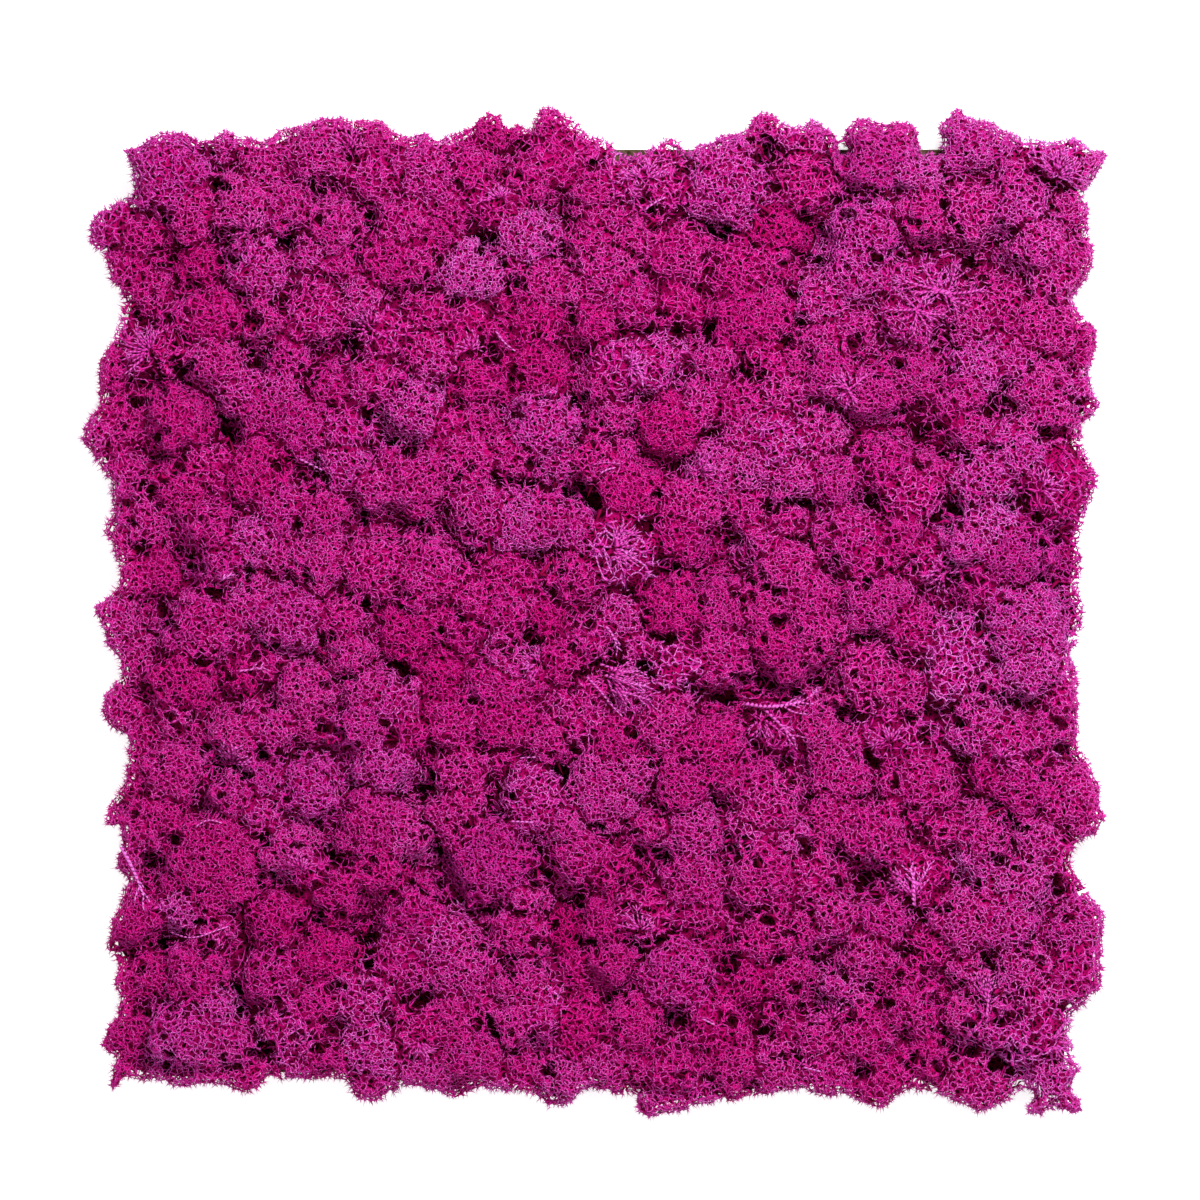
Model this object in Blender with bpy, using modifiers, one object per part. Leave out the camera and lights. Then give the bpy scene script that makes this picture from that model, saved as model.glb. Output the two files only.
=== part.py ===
"""Moss panel: picked tufts of dyed reindeer lichen glued side by side on a
square backing board.

Frame: metres, +Z up.  The board lies flat, its back face on z = 0 and its
centre at the origin.  The moss grows up from the board's front face, and the
row of tufts nearest +Y is the panel's top edge when it hangs on a wall.

Build: one box for the board, and one closed lumpy mound for each tuft.  Every
mound starts as a UV sphere whose rings are drawn out to the tuft's own plot of
the panel (a convex plot, so that two tufts can't meet) and up to the canopy
that its branching heads make.
"""

import math

import bmesh
import bpy
from mathutils import Vector

# ------------------------------------------------------------------ sizes
BOARD_SIDE = 0.500        # square backing board
BOARD_THICK = 0.008
BOARD_EDGE = 0.0006       # worn arris
GLUE_GAP = 0.0003         # board front to moss foot
PLOT_GAP = 0.0003         # between neighbouring tufts

# The plan of the moss is laid out on a grid of 0.54 mm steps that counts
# right along +X and down along -Y.  The board's centre is on (602, 611).
STEP = 0.00054
MID_X, MID_Y = 602.0, 611.0

# canopy height above the board's front face, by head level 1 (sunk) to 5
LEVEL_RISE = {1: 0.019, 2: 0.026, 3: 0.033, 4: 0.038, 5: 0.042}
VALLEY_RISE = 0.024       # canopy between two heads
BELLY_RISE = 0.0125       # widest part of a tuft, where it meets the next one
EDGE_FALL = 0.0080        # heads that hang over the board's rim sit lower

SECTORS = 16              # facets round a tuft
FOOT, BELLY, SHOULDER, FLANK, CROWN = 0.80, 1.0, 0.88, 0.62, 0.32

# ------------------------------------------------------------- the outline
# Plan of the outermost twigs, clockwise from the top left corner.
OUTLINE = [
    (127, 165), (125, 150), (150, 138), (165, 134), (178, 131), (195, 135),
    (210, 138), (223, 129), (240, 138), (262, 140), (290, 126), (315, 120),
    (340, 117), (365, 121), (385, 121), (400, 135), (412, 138), (424, 130),
    (440, 140), (455, 145), (470, 135), (482, 124), (494, 110), (502, 124),
    (520, 127), (536, 122), (546, 105), (556, 118), (575, 128), (592, 138),
    (612, 146), (640, 149), (665, 140), (690, 142), (715, 138), (740, 132),
    (752, 122), (762, 108), (775, 122), (800, 124), (818, 128), (828, 146),
    (846, 146), (850, 130), (862, 122), (890, 124), (912, 122), (920, 147),
    (940, 147), (946, 122), (957, 109), (980, 118), (1005, 130), (1025, 138),
    (1045, 139), (1075, 139), (1108, 154), (1095, 180), (1085, 196),
    (1090, 220), (1096, 250), (1088, 278), (1076, 297), (1082, 312),
    (1096, 330), (1100, 348), (1090, 372), (1098, 392), (1101, 405),
    (1088, 420), (1080, 440), (1092, 460), (1100, 480), (1092, 500),
    (1083, 520), (1083, 560), (1080, 590), (1086, 618), (1078, 640),
    (1072, 655), (1078, 680), (1080, 705), (1076, 740), (1092, 765),
    (1102, 790), (1106, 818), (1092, 838), (1072, 852), (1078, 875),
    (1088, 893), (1102, 905), (1106, 930), (1102, 965), (1102, 990),
    (1086, 1003), (1070, 1016), (1072, 1050), (1076, 1080), (1068, 1095),
    (1084, 1112), (1060, 1108), (1040, 1117), (1034, 1112), (1044, 1100),
    (1030, 1092), (1012, 1094), (1000, 1108), (975, 1113), (955, 1105),
    (940, 1096), (915, 1088), (900, 1098), (885, 1108), (860, 1106),
    (845, 1096), (800, 1092), (760, 1098), (720, 1103), (690, 1108),
    (650, 1116), (640, 1112), (636, 1096), (612, 1094), (590, 1085),
    (575, 1100), (560, 1110), (545, 1103), (530, 1096), (500, 1092),
    (480, 1088), (465, 1096), (455, 1102), (440, 1096), (420, 1090),
    (400, 1088), (385, 1096), (370, 1102), (355, 1098), (345, 1085),
    (330, 1077), (310, 1080), (290, 1077), (268, 1078), (258, 1092),
    (250, 1095), (225, 1087), (200, 1086), (170, 1086), (140, 1080),
    (122, 1080), (112, 1092), (108, 1086), (113, 1060), (98, 1045),
    (105, 1035), (116, 1020), (118, 1000), (114, 985), (118, 965),
    (106, 945), (110, 930), (118, 905), (130, 880), (115, 868), (116, 855),
    (120, 840), (118, 826), (106, 824), (106, 810), (112, 798), (126, 775),
    (127, 745), (124, 735), (110, 725), (100, 710), (103, 695), (120, 675),
    (116, 660), (102, 630), (94, 605), (106, 598), (120, 585), (116, 565),
    (112, 545), (104, 535), (110, 510), (110, 480), (95, 460), (82, 440),
    (84, 428), (100, 400), (97, 370), (104, 352), (116, 325), (122, 295),
    (110, 285), (100, 255), (88, 240), (86, 228), (96, 210), (118, 198),
    (133, 198), (131, 180),
]

# ------------------------------------------------------------ the 58 tufts
# Middle of each picked tuft, in rows from the top edge down.
TUFTS = [
    (166, 176), (286, 172), (404, 172), (524, 176), (640, 186), (742, 184),
    (868, 168), (1002, 166),
    (150, 290), (292, 290), (440, 284), (590, 282), (734, 296), (880, 280),
    (1034, 268),
    (126, 410), (258, 400), (384, 394), (510, 398), (650, 384), (788, 412),
    (916, 392), (1034, 388),
    (160, 508), (290, 496), (430, 500), (585, 512), (725, 500), (862, 506),
    (1012, 512),
    (136, 628), (260, 616), (394, 612), (544, 628), (692, 628), (832, 622),
    (968, 622),
    (186, 738), (340, 730), (486, 716), (610, 744), (724, 752), (862, 736),
    (1014, 728),
    (184, 850), (340, 840), (480, 846), (598, 850), (716, 864), (856, 852),
    (984, 858),
    (178, 1006), (318, 984), (446, 990), (580, 1004), (700, 1012),
    (850, 1000), (1010, 1016),
]

# ------------------------------------------------------------- the heads
# Every branching head: plan position, radius and level, zone by zone.
HEADS = [
    (164, 173, 36, 4), (176, 141, 16, 2), (224, 139, 16, 3),
    (262, 158, 26, 3), (246, 205, 27, 4), (284, 205, 20, 4),
    (316, 152, 26, 4), (337, 133, 20, 4), (378, 136, 23, 4),
    (374, 177, 24, 3), (428, 172, 32, 4), (334, 227, 24, 4),
    (191, 213, 25, 3), (109, 221, 21, 3), (138, 236, 18, 3),
    (125, 268, 20, 3), (200, 262, 19, 2), (259, 268, 28, 4),
    (310, 255, 18, 3), (341, 260, 18, 3), (388, 262, 25, 4),
    (420, 262, 17, 4), (402, 222, 24, 4), (436, 230, 20, 3),
    (214, 320, 27, 4), (181, 322, 14, 3), (264, 318, 16, 4),
    (315, 312, 30, 4), (387, 332, 22, 4), (362, 300, 18, 4),
    (139, 354, 20, 3), (106, 368, 20, 4), (213, 358, 24, 4),
    (239, 385, 22, 3), (289, 357, 20, 3), (330, 388, 20, 3),
    (372, 381, 24, 4), (425, 352, 21, 3), (414, 409, 24, 4),
    (300, 425, 27, 4), (264, 410, 24, 3), (345, 433, 20, 4),
    (178, 418, 26, 4), (122, 422, 27, 3), (93, 436, 16, 4),
    (150, 290, 18, 2), (165, 235, 12, 1), (280, 390, 18, 3),
    (170, 350, 18, 3),

    (468, 170, 20, 4), (493, 131, 19, 3), (490, 204, 22, 4),
    (546, 122, 16, 4), (554, 162, 24, 4), (530, 182, 20, 4),
    (578, 150, 22, 3), (624, 176, 28, 4), (593, 188, 18, 4),
    (602, 212, 25, 3), (663, 188, 22, 4), (729, 184, 38, 5),
    (762, 130, 18, 3), (524, 236, 28, 4), (452, 210, 22, 3),
    (471, 271, 26, 4), (591, 236, 20, 3), (604, 270, 26, 4),
    (641, 236, 22, 4), (677, 252, 28, 4), (543, 285, 28, 3),
    (514, 258, 18, 3), (635, 304, 22, 4), (596, 324, 18, 4),
    (742, 268, 30, 3), (740, 323, 28, 4), (679, 304, 20, 3),
    (470, 320, 18, 3), (494, 333, 14, 3), (432, 312, 22, 3),
    (438, 357, 22, 3), (536, 322, 24, 3), (538, 368, 28, 3),
    (622, 366, 30, 5), (656, 362, 24, 4), (715, 362, 18, 4),
    (768, 359, 16, 4), (474, 382, 20, 3), (543, 425, 30, 5),
    (616, 413, 22, 3), (671, 424, 28, 4), (702, 404, 22, 4),
    (738, 403, 24, 4), (748, 432, 26, 4), (480, 430, 22, 3),
    (447, 428, 22, 3), (602, 386, 14, 4), (508, 300, 14, 2),
    (575, 290, 14, 3), (458, 345, 14, 3), (500, 385, 14, 2),

    (803, 135, 24, 4), (803, 183, 28, 4), (869, 155, 32, 5),
    (902, 142, 20, 4), (917, 168, 22, 4), (972, 136, 34, 5),
    (869, 233, 29, 5), (922, 215, 22, 4), (972, 212, 26, 4),
    (1019, 184, 22, 4), (1018, 208, 20, 5), (1040, 243, 22, 5),
    (1056, 157, 24, 4), (1086, 168, 20, 4), (1076, 207, 20, 3),
    (1061, 263, 25, 4), (1052, 285, 16, 4), (858, 272, 27, 5),
    (820, 301, 26, 4), (772, 262, 18, 3), (778, 232, 22, 3),
    (900, 284, 22, 4), (928, 284, 20, 4), (911, 317, 26, 5),
    (972, 312, 27, 3), (1003, 300, 20, 3), (1044, 324, 30, 4),
    (1084, 347, 20, 4), (852, 330, 20, 4), (822, 340, 20, 4),
    (768, 316, 24, 4), (790, 350, 18, 3), (833, 372, 25, 4),
    (869, 391, 24, 4), (914, 370, 25, 3), (978, 368, 26, 4),
    (961, 393, 18, 5), (990, 345, 14, 3), (1044, 391, 27, 4),
    (1086, 384, 18, 4), (1090, 403, 14, 2), (1050, 416, 20, 4),
    (780, 392, 20, 4), (955, 410, 20, 4), (976, 431, 20, 4),
    (1020, 442, 26, 4), (1020, 360, 18, 4),

    (123, 477, 22, 4), (181, 486, 25, 3), (214, 467, 24, 3),
    (259, 473, 31, 4), (281, 510, 25, 4), (345, 466, 22, 4),
    (412, 480, 30, 4), (375, 486, 18, 4), (320, 510, 24, 4),
    (321, 562, 27, 4), (370, 568, 28, 5), (427, 573, 32, 5),
    (213, 527, 18, 5), (249, 540, 24, 4), (222, 559, 19, 4),
    (276, 556, 17, 3), (146, 524, 22, 3), (157, 572, 22, 2),
    (126, 545, 15, 3), (130, 578, 17, 3), (114, 619, 22, 3),
    (207, 627, 36, 4), (254, 606, 24, 4), (289, 619, 28, 5),
    (340, 620, 22, 4), (348, 652, 18, 4), (409, 630, 28, 3),
    (242, 677, 13, 3), (266, 664, 15, 3), (184, 682, 26, 4),
    (136, 660, 22, 2), (115, 712, 24, 4), (176, 707, 18, 3),
    (304, 690, 26, 4), (366, 688, 16, 4), (395, 700, 25, 4),
    (237, 735, 20, 4), (269, 728, 24, 4), (310, 720, 22, 3),
    (360, 727, 22, 4), (384, 763, 25, 4), (173, 772, 27, 4),
    (264, 778, 21, 4), (309, 791, 24, 5), (136, 776, 18, 3),
    (150, 735, 20, 2), (205, 745, 18, 2), (405, 735, 18, 4),

    (238, 795, 20, 4), (261, 817, 18, 4), (160, 812, 24, 3),
    (137, 831, 18, 4), (220, 864, 50, 4), (287, 850, 22, 5),
    (311, 874, 16, 4), (337, 892, 20, 4), (375, 824, 31, 4),
    (405, 833, 20, 4), (380, 870, 20, 4), (125, 866, 13, 4),
    (137, 914, 23, 4), (181, 908, 18, 3), (214, 931, 15, 4),
    (275, 918, 25, 4), (198, 974, 28, 4), (156, 976, 22, 2),
    (269, 975, 26, 4), (325, 960, 28, 3), (406, 960, 33, 3),
    (414, 909, 24, 4), (360, 999, 26, 4), (212, 1009, 20, 4),
    (181, 1034, 26, 5), (223, 1042, 22, 4), (128, 1031, 25, 3),
    (288, 1028, 28, 4), (314, 1006, 20, 4), (330, 1064, 20, 4),
    (373, 1052, 26, 4), (375, 1082, 20, 4), (420, 1031, 26, 4),
    (250, 1074, 24, 3), (172, 1070, 20, 2), (212, 1075, 20, 3),
    (115, 1074, 13, 4), (300, 1070, 16, 3), (118, 985, 18, 3),
    (420, 1070, 18, 4),

    (471, 462, 28, 4), (510, 456, 24, 4), (604, 459, 25, 4),
    (629, 492, 28, 4), (556, 454, 22, 3), (483, 511, 31, 4),
    (521, 520, 31, 4), (551, 514, 22, 4), (621, 550, 36, 5),
    (587, 533, 24, 4), (693, 503, 30, 4), (680, 536, 24, 4),
    (718, 466, 26, 4), (756, 462, 26, 4), (745, 506, 20, 3),
    (578, 575, 26, 4), (506, 577, 27, 3), (474, 598, 20, 4),
    (505, 612, 24, 4), (543, 619, 20, 3), (673, 607, 28, 4),
    (719, 606, 25, 4), (721, 656, 28, 4), (762, 608, 24, 4),
    (617, 620, 24, 3), (590, 640, 18, 4), (463, 636, 15, 4),
    (440, 622, 20, 3), (440, 676, 28, 3), (499, 686, 33, 5),
    (507, 662, 22, 5), (502, 718, 28, 5), (560, 666, 21, 4),
    (530, 682, 20, 4), (577, 715, 30, 4), (546, 735, 22, 4),
    (635, 690, 22, 4), (674, 668, 22, 5), (666, 723, 28, 4),
    (615, 738, 24, 4), (712, 748, 30, 5), (638, 774, 18, 4),
    (604, 787, 36, 4), (683, 781, 27, 5), (463, 773, 24, 4),
    (535, 790, 27, 4), (480, 742, 18, 3), (500, 755, 14, 3),
    (750, 780, 28, 4), (591, 690, 14, 4), (455, 725, 24, 4),
    (640, 650, 16, 3),

    (778, 440, 24, 5), (792, 477, 22, 4), (817, 434, 24, 4),
    (836, 478, 23, 4), (878, 463, 24, 4), (842, 536, 27, 5),
    (787, 570, 28, 5), (786, 522, 13, 4), (812, 598, 24, 4),
    (867, 558, 22, 4), (914, 495, 26, 4), (900, 538, 20, 4),
    (935, 478, 20, 3), (981, 477, 25, 5), (1013, 452, 25, 5),
    (1060, 486, 34, 5), (1014, 552, 30, 4), (985, 528, 25, 4),
    (965, 543, 18, 5), (926, 562, 20, 3), (978, 582, 18, 3),
    (875, 598, 28, 4), (910, 624, 25, 3), (816, 634, 24, 4),
    (775, 640, 18, 4), (1022, 628, 37, 4), (958, 646, 28, 4),
    (950, 676, 20, 5), (1032, 666, 29, 4), (870, 676, 28, 4),
    (792, 660, 18, 3), (982, 692, 18, 4), (907, 692, 22, 3),
    (820, 725, 27, 3), (886, 735, 20, 4), (908, 738, 16, 4),
    (778, 732, 15, 5), (858, 745, 16, 3), (980, 725, 25, 4),
    (1012, 742, 25, 4), (1064, 702, 18, 4), (1052, 732, 20, 3),
    (842, 774, 30, 3), (920, 782, 33, 4), (990, 772, 19, 3),
    (1022, 784, 28, 4), (1078, 800, 33, 4), (765, 545, 16, 4),

    (457, 815, 25, 4), (535, 808, 26, 4), (565, 828, 14, 5),
    (648, 828, 13, 4), (693, 831, 27, 4), (492, 863, 36, 4),
    (577, 854, 26, 4), (615, 871, 22, 3), (640, 912, 25, 4),
    (696, 879, 28, 4), (703, 912, 22, 3), (757, 830, 22, 4),
    (764, 874, 32, 5), (519, 932, 26, 4), (525, 902, 13, 4),
    (560, 930, 18, 2), (610, 925, 25, 3), (654, 922, 22, 4),
    (679, 975, 33, 5), (463, 965, 30, 4), (441, 938, 24, 4),
    (430, 975, 20, 3), (521, 986, 28, 4), (541, 1003, 22, 4),
    (576, 968, 21, 2), (615, 963, 17, 4), (632, 1023, 27, 4),
    (577, 1027, 28, 3), (480, 1000, 24, 3), (450, 1022, 22, 4),
    (473, 1050, 28, 4), (440, 1065, 22, 3), (514, 1022, 18, 5),
    (541, 1018, 16, 5), (715, 1022, 26, 4), (668, 1066, 24, 4),
    (610, 1060, 24, 3), (570, 1075, 24, 3), (640, 1062, 20, 3),
    (521, 1068, 20, 3), (763, 937, 27, 4), (752, 978, 25, 3),
    (729, 1058, 28, 3), (690, 1092, 24, 3), (662, 1101, 18, 3),
    (712, 943, 20, 2), (500, 1075, 20, 3),

    (767, 805, 30, 5), (790, 835, 18, 4), (830, 821, 27, 3),
    (878, 834, 28, 4), (811, 877, 28, 4), (919, 875, 28, 4),
    (986, 838, 20, 5), (980, 858, 18, 4), (966, 918, 31, 5),
    (834, 917, 21, 4), (886, 920, 20, 5), (868, 955, 23, 4),
    (1008, 926, 24, 5), (1020, 882, 26, 4), (1035, 840, 20, 4),
    (1081, 926, 28, 4), (1076, 974, 28, 5), (1022, 968, 26, 4),
    (970, 966, 22, 3), (911, 1004, 25, 5), (850, 985, 20, 3),
    (782, 978, 22, 3), (805, 930, 18, 3), (992, 1024, 20, 5),
    (1018, 1040, 20, 4), (1051, 1035, 20, 5), (1040, 1003, 17, 4),
    (962, 1014, 16, 3), (864, 1032, 26, 4), (820, 1040, 22, 3),
    (780, 1064, 26, 3), (830, 1076, 22, 4), (890, 1082, 25, 4),
    (975, 1080, 30, 4), (1052, 1080, 22, 4), (1040, 1106, 9, 5),
    (1074, 1100, 9, 5), (925, 1052, 20, 3), (780, 1020, 20, 2),
    (1066, 862, 14, 4), (930, 945, 22, 3), (890, 975, 18, 3),
    (940, 830, 16, 3),
]

# colour of the dye on each tuft: the deeper magenta ones, by tuft number
DEEP_TUFTS = {9, 11, 13, 16, 19, 24, 31, 34, 38, 45, 52, 55, 56, 57}


# ----------------------------------------------------------------- helpers
def plan(px, py):
    """Layout grid to metres."""
    return (px - MID_X) * STEP, (MID_Y - py) * STEP


def clear_scene():
    for ob in list(bpy.data.objects):
        bpy.data.objects.remove(ob, do_unlink=True)


def material(name, colour, roughness, metallic=0.0):
    mat = bpy.data.materials.new(name)
    mat.use_nodes = True
    shader = mat.node_tree.nodes["Principled BSDF"]
    shader.inputs["Base Color"].default_value = (*colour, 1.0)
    shader.inputs["Roughness"].default_value = roughness
    shader.inputs["Metallic"].default_value = metallic
    mat.diffuse_color = (*colour, 1.0)
    return mat


def ray_to_outline(cx, cy, ux, uy, rim):
    """Distance from a point inside the outline to where a ray leaves it."""
    best = 1.0
    for (ax, ay), (bx, by) in zip(rim, rim[1:] + rim[:1]):
        ex, ey = bx - ax, by - ay
        det = ux * ey - uy * ex
        if abs(det) < 1e-12:
            continue
        wx, wy = ax - cx, ay - cy
        t = (wx * ey - wy * ex) / det
        s = (wx * uy - wy * ux) / det
        if t > 0.0 and -1e-9 <= s <= 1.0 + 1e-9:
            best = min(best, t)
    return best


def reach(index, angle, seeds, rim):
    """How far a tuft spreads from its middle in one direction."""
    cx, cy = seeds[index]
    ux, uy = math.cos(angle), math.sin(angle)
    far = ray_to_outline(cx, cy, ux, uy, rim)
    for other, (ox, oy) in enumerate(seeds):
        if other == index:
            continue
        dx, dy = ox - cx, oy - cy
        toward = dx * ux + dy * uy
        if toward <= 1e-9:
            continue
        span = math.hypot(dx, dy)
        far = min(far, (span * span / 2.0 - span * PLOT_GAP * 0.55) / toward)
    return far


def canopy(x, y, heads):
    """Height of the tuft's surface above the board's front face."""
    top = VALLEY_RISE
    for hx, hy, hr, rise in heads:
        d = math.hypot(x - hx, y - hy) / (1.35 * hr)
        if d < 1.0:
            dome = math.sqrt(1.0 - d * d)
            top = max(top, rise - 0.85 * hr * (1.0 - dome))
    return top


# ------------------------------------------------------------------- build
def build_board(coll, mat):
    bpy.ops.mesh.primitive_cube_add(size=1.0, location=(0.0, 0.0, BOARD_THICK / 2.0))
    board = bpy.context.active_object
    board.name = "backing_board"
    board.data.name = "backing_board"
    board.scale = (BOARD_SIDE, BOARD_SIDE, BOARD_THICK)
    bpy.ops.object.transform_apply(location=False, rotation=False, scale=True)
    arris = board.modifiers.new("arris", "BEVEL")
    arris.width = BOARD_EDGE
    arris.segments = 1
    board.data.materials.append(mat)
    for c in list(board.users_collection):
        c.objects.unlink(board)
    coll.objects.link(board)
    return board


def build_tuft(number, index, seeds, rim, heads, coll, mat, holder):
    cx, cy = seeds[index]
    front = BOARD_THICK
    bm = bmesh.new()
    bmesh.ops.create_uvsphere(bm, u_segments=SECTORS, v_segments=6, radius=1.0)

    # the sphere's rings, bottom pole first
    levels = sorted({round(v.co.z, 4) for v in bm.verts})
    shares = [0.0, FOOT, BELLY, SHOULDER, FLANK, CROWN, 0.0]
    for v in bm.verts:
        ring = levels.index(round(v.co.z, 4))
        angle = math.atan2(v.co.y, v.co.x)
        spread = 0.0 if ring in (0, 6) else reach(index, angle, seeds, rim)
        share = shares[ring]
        x = cx + math.cos(angle) * spread * share
        y = cy + math.sin(angle) * spread * share
        if ring <= 1:
            z = front + GLUE_GAP
        elif ring == 2:
            z = front + BELLY_RISE
        else:
            z = front + canopy(x, y, heads)
        v.co = Vector((x - cx, y - cy, z - front))
    bmesh.ops.recalc_face_normals(bm, faces=bm.faces[:])

    mesh = bpy.data.meshes.new("tuft_%02d" % number)
    bm.to_mesh(mesh)
    bm.free()
    mesh.materials.append(mat)
    ob = bpy.data.objects.new("tuft_%02d" % number, mesh)
    ob.location = (cx, cy, front)
    ob.parent = holder
    coll.objects.link(ob)
    ob.data.shade_smooth()
    return ob


def main():
    clear_scene()
    coll = bpy.data.collections.new("moss_panel")
    bpy.context.scene.collection.children.link(coll)

    board_mat = material("board_fibre", (0.050, 0.036, 0.018), 0.92)
    pink = material("moss_pink", (0.58, 0.055, 0.33), 0.85)
    deep = material("moss_magenta", (0.42, 0.008, 0.16), 0.88)

    build_board(coll, board_mat)

    holder = bpy.data.objects.new("moss_layer", None)
    coll.objects.link(holder)

    seeds = [plan(*p) for p in TUFTS]
    rim = [plan(*p) for p in OUTLINE]
    half = BOARD_SIDE / 2.0

    shared = {i: [] for i in range(len(seeds))}
    for hx, hy, hr, level in HEADS:
        x, y = plan(hx, hy)
        outside = max(abs(x), abs(y)) - (half - 0.012)
        rise = LEVEL_RISE[level]
        if outside > 0.0:
            rise -= min(EDGE_FALL, outside * 0.35)
        near = min(range(len(seeds)),
                   key=lambda i: math.hypot(seeds[i][0] - x, seeds[i][1] - y))
        shared[near].append((x, y, hr * STEP, rise))

    for i in range(len(seeds)):
        number = i + 1
        mat = deep if number in DEEP_TUFTS else pink
        build_tuft(number, i, seeds, rim, shared[i], coll, mat, holder)


main()
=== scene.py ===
import math

import bmesh
import bpy
import numpy as np
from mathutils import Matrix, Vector, kdtree


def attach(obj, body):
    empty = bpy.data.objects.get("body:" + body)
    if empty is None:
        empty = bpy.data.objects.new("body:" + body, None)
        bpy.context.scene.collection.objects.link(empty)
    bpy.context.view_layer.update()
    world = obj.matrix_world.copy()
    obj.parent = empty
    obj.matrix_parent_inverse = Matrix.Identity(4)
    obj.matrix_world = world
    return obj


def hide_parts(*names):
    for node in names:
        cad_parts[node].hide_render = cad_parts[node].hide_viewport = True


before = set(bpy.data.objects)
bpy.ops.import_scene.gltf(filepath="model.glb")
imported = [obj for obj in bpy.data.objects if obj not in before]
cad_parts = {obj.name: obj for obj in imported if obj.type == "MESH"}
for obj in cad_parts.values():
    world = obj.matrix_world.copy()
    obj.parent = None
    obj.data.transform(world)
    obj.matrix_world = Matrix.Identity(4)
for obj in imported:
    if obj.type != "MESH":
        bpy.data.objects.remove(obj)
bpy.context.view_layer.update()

# A square panel of dyed reindeer lichen. Each picked tuft is one mesh of
# branching twigs over a dense inside, in place of its plain CAD mound.

# ------------------------------------------------------- light and dye
WORLD_LIGHT = 0.76
KEY_LIGHT = 74.0
KEY_FROM = (0.30, 0.50, 1.0)
KEY_AWAY, KEY_SIZE = 2.4, 0.7
FLOOR_GLOW = 0.72
# colour from the foot of a twig (0) to its tip (1), for the two ends of the tint; the red or violet tint is the
# dye, while the foot is painted dark as shade deep in the tuft and the tip is painted paler and more violet as a
# sheen highlight
RED_DYE_SHADE_TO_SHEEN = [(0.00, (0.03, 0.000, 0.001)), (0.22, (0.32, 0.0003, 0.055)),
           (0.50, (0.53, 0.0008, 0.148)), (0.75, (0.57, 0.005, 0.225)), (1.00, (0.72, 0.038, 0.395))]
VIOLET_DYE_SHADE_TO_SHEEN = [(0.00, (0.03, 0.000, 0.002)), (0.22, (0.30, 0.0006, 0.078)),
              (0.50, (0.51, 0.005, 0.232)), (0.75, (0.57, 0.050, 0.395)), (1.00, (0.79, 0.215, 0.700))]
# the matted inside: twig colour along the web's lines, painted black shade in the cells between them; the second
# ramp is the same, painted darker as shade where the core lies deep
MATTED = [(0.00, (0.38, 0.0013, 0.112)), (0.12, (0.23, 0.0005, 0.058)),
          (0.23, (0.016, 0.0001, 0.003))]
MATTED_PAINTED_SHADE = [(0.00, (0.10, 0.0002, 0.018)), (0.11, (0.04, 0.0001, 0.006)),
               (0.24, (0.003, 0.000, 0.0003))]
# where twigs, branches, limbs and stems start and end on the colour ramp: the lower tones deeper in the tuft are
# painted shade
TONE_A, TONE_B, TONE_C, TONE_D = 0.78, 0.50, 0.28, 0.12
CORE_DEPTH, CORE_RIM = 6.5, 9.0
HOLE_SHARE = 0.51
DOME = 3.2
FILL_CELLS, FILL_BELOW = 14, 2.2
DOT_PITCH, DOT_R = 10.6, (0.8, 1.9)
TIP_PITCH, TWIG_PITCH, BRANCH_PITCH = 5.1, 4.05, 7.8
TIP_DEPTH, INNER_SHARE = -0.3, 0.34
NET_LOOSE = 0.97
BOWED_FROM = 3
TIP_R, NET_R, TWIG_R, INNER_R = 0.52, 0.47, 0.98, 1.05

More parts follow.
